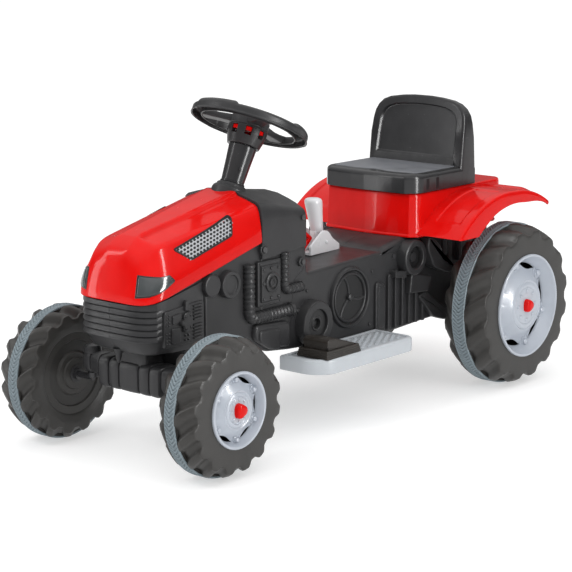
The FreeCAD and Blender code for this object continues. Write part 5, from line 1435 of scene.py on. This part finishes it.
def beam_form():
    """Front axle beam of puffed blocks with capped ends, its seat under the nose and a pointed knob."""
    form = Form()
    rings = []
    for low, high in BEAM_BLOCKS:
        for x, puff in ((low, 0.84), (low + 0.8, 0.93), (low + 3, 0.985), ((low + high) / 2, 1.0),
                        (high - 3, 0.985), (high - 0.8, 0.93), (high, 0.84)):
            reach = abs(x)
            fat = 1 - eased((reach - 62) / 16)
            cap = math.sqrt(max(0.1, 1 - ((reach - 103) / 11.6) ** 2)) if reach > 103 else 1.0
            foot, head = mixed(120.3, 104.5, fat), 155.4
            half_y = mixed(16.5, 22.5, fat) * puff * cap
            half_z = (head - foot) / 2 * (0.25 + 0.75 * puff * cap)
            middle = (head + foot) / 2
            outline = rounded(oblong(BEAM_Y - half_y, middle - half_z, BEAM_Y + half_y, middle + half_z),
                              13, 5)
            rings.append([(x, u, v) for u, v in outline])
    form.loft(rings)
    form.slab(rounded(oblong(-34, -420, 34, -374), 8, 4), plan_view, 150, 175.6, 2.0)
    form.lathe([(181, 9), (177, 7.4), (172, 5.6), (164, 4.0), (159.4, 2.6), (158, 0.8)],
               about_z(0, -444.0), 20)
    for x in (100.0, -100.0):
        form.lathe([(162, 0.6), (161.6, 7.4), (160, 10.6), (152, 11.0), (152, 14.6), (159, 14), (163.6, 11.4),
                    (165.6, 6.4), (166, 0.6)], about_z(x, BEAM_Y), 28)
    return form


look("axle_beam", beam_form(), charcoal, "black_plastic")

# Pieces whose solid is already right: finish and softened edges

PLAIN = (
    (case_grey, "battery"), (red, "horn_button"), (nylon, "idler_gear motor_pinion output_gear"),
    (black_steel, "body_screws knuckle_left knuckle_right tie_bar"),
    (charcoal, "drive_switch gearbox_case gearbox_cover horn_housing pedal_switch front_bushes_left "
               "front_bushes_right rear_bushes_left rear_bushes_right"),
    (steel, "front_axle_nut_left front_axle_nut_right motor rear_axle rear_axle_nuts steering_shaft"),
)
SOFT_EDGES = {"gearbox_case": 1.0, "gearbox_cover": 1.2, "horn_housing": 0.6, "battery": 1.0}
for material, names in PLAIN:
    for name in names.split():
        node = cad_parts[name]
        node.data.materials.clear()
        node.data.materials.append(material)
        node.modifiers.new("weld", "WELD").merge_threshold = 1e-6
        if name in SOFT_EDGES:
            soften(node, SOFT_EDGES[name])

# Floor, light and camera

FLOOR_REACH, FLOOR_LEVEL = 30.0, -0.0005
floor_mesh = bpy.data.meshes.new("floor")
corners = oblong(-FLOOR_REACH, -FLOOR_REACH, FLOOR_REACH, FLOOR_REACH)
floor_mesh.from_pydata([(x, y, FLOOR_LEVEL) for x, y in corners], [], [(0, 1, 2, 3)])
floor = bpy.data.objects.new("floor", floor_mesh)
bpy.context.scene.collection.objects.link(floor)
floor_mesh.materials.append(finish("pale_floor", (0.62, 0.62, 0.62), 0.6, tone=0.01, depth=0.0, edge_wear_and_highlight=0.0,
                                   dust=0.0, patch=2.0, specular_ior_level=0.1,
                                   emission_color=(1.0, 1.0, 1.0, 1.0), emission_strength=0.48))

SKY_LOW, SKY_HIGH = 0.10, 1.42
world = bpy.data.worlds.new("studio")
world.use_nodes = True
sky = world.node_tree
aim = step(sky, "TexCoord", {}).outputs["Generated"]
height = step(sky, "SeparateXYZ", {0: aim}).outputs["Z"]
glow = step(sky, "MapRange", {"Value": height, "To Min": SKY_LOW, "To Max": SKY_HIGH},
            interpolation_type="SMOOTHSTEP")
seen = step(sky, "LightPath", {}).outputs["Is Camera Ray"]
backdrop = sums(sky, "MAXIMUM", glow.outputs["Result"], seen)
sky.links.new(backdrop, sky.nodes["Background"].inputs["Strength"])
sky.nodes["Background"].inputs["Color"].default_value = (1.0, 1.0, 1.0, 1.0)
bpy.context.scene.world = world


def softbox(name, place, target, width, height, power):
    """A rectangular lamp aimed at a point."""
    lamp = bpy.data.lights.new(name, "AREA")
    lamp.shape = "RECTANGLE"
    lamp.size = width
    lamp.size_y = height
    lamp.energy = power
    item = bpy.data.objects.new(name, lamp)
    bpy.context.scene.collection.objects.link(item)
    item.location = place
    item.rotation_euler = (Vector(target) - Vector(place)).to_track_quat("-Z", "Y").to_euler()
    return item


BODY_MIDDLE, DASH_MIDDLE = (0, 0, 0.25), (0.0, 0.1, 0.4)
# Soft lamps that light the tractor without showing in its gloss, then strips that show only in the gloss
softbox("key", (-0.6, -2.4, 2.6), BODY_MIDDLE, 1.0, 0.8, 22).visible_glossy = False
softbox("front_fill", (2.0, -2.2, 1.0), BODY_MIDDLE, 1.6, 1.2, 11).visible_glossy = False
softbox("left_fill", (2.6, -0.2, 1.3), BODY_MIDDLE, 1.4, 1.2, 15).visible_glossy = False
softbox("right_strip", (-0.72, -1.0, 0.72), DASH_MIDDLE, 0.12, 1.4, 5).visible_diffuse = False
softbox("left_strip", (1.35, 0.0, 0.72), DASH_MIDDLE, 0.2, 1.4, 27).visible_diffuse = False

CAMERA_PLACE = Vector((2.05737, -2.47465, 0.86898))
AZIMUTH, ELEVATION = math.radians(40.23), math.radians(11.58)
FOCAL_PIXELS, IMAGE_PIXELS, SENSOR = 1911.28, 572, 36.0
view = bpy.data.cameras.new("photo_view")
view.sensor_width = SENSOR
view.lens = FOCAL_PIXELS / IMAGE_PIXELS * SENSOR
view.clip_end = 100
camera = bpy.data.objects.new("photo_view", view)
bpy.context.scene.collection.objects.link(camera)
camera.location = CAMERA_PLACE
heading = Vector((-math.sin(AZIMUTH) * math.cos(ELEVATION), math.cos(AZIMUTH) * math.cos(ELEVATION),
                  -math.sin(ELEVATION)))
camera.rotation_euler = heading.to_track_quat("-Z", "Y").to_euler()
bpy.context.scene.camera = camera
bpy.context.scene.view_settings.view_transform = "Standard"
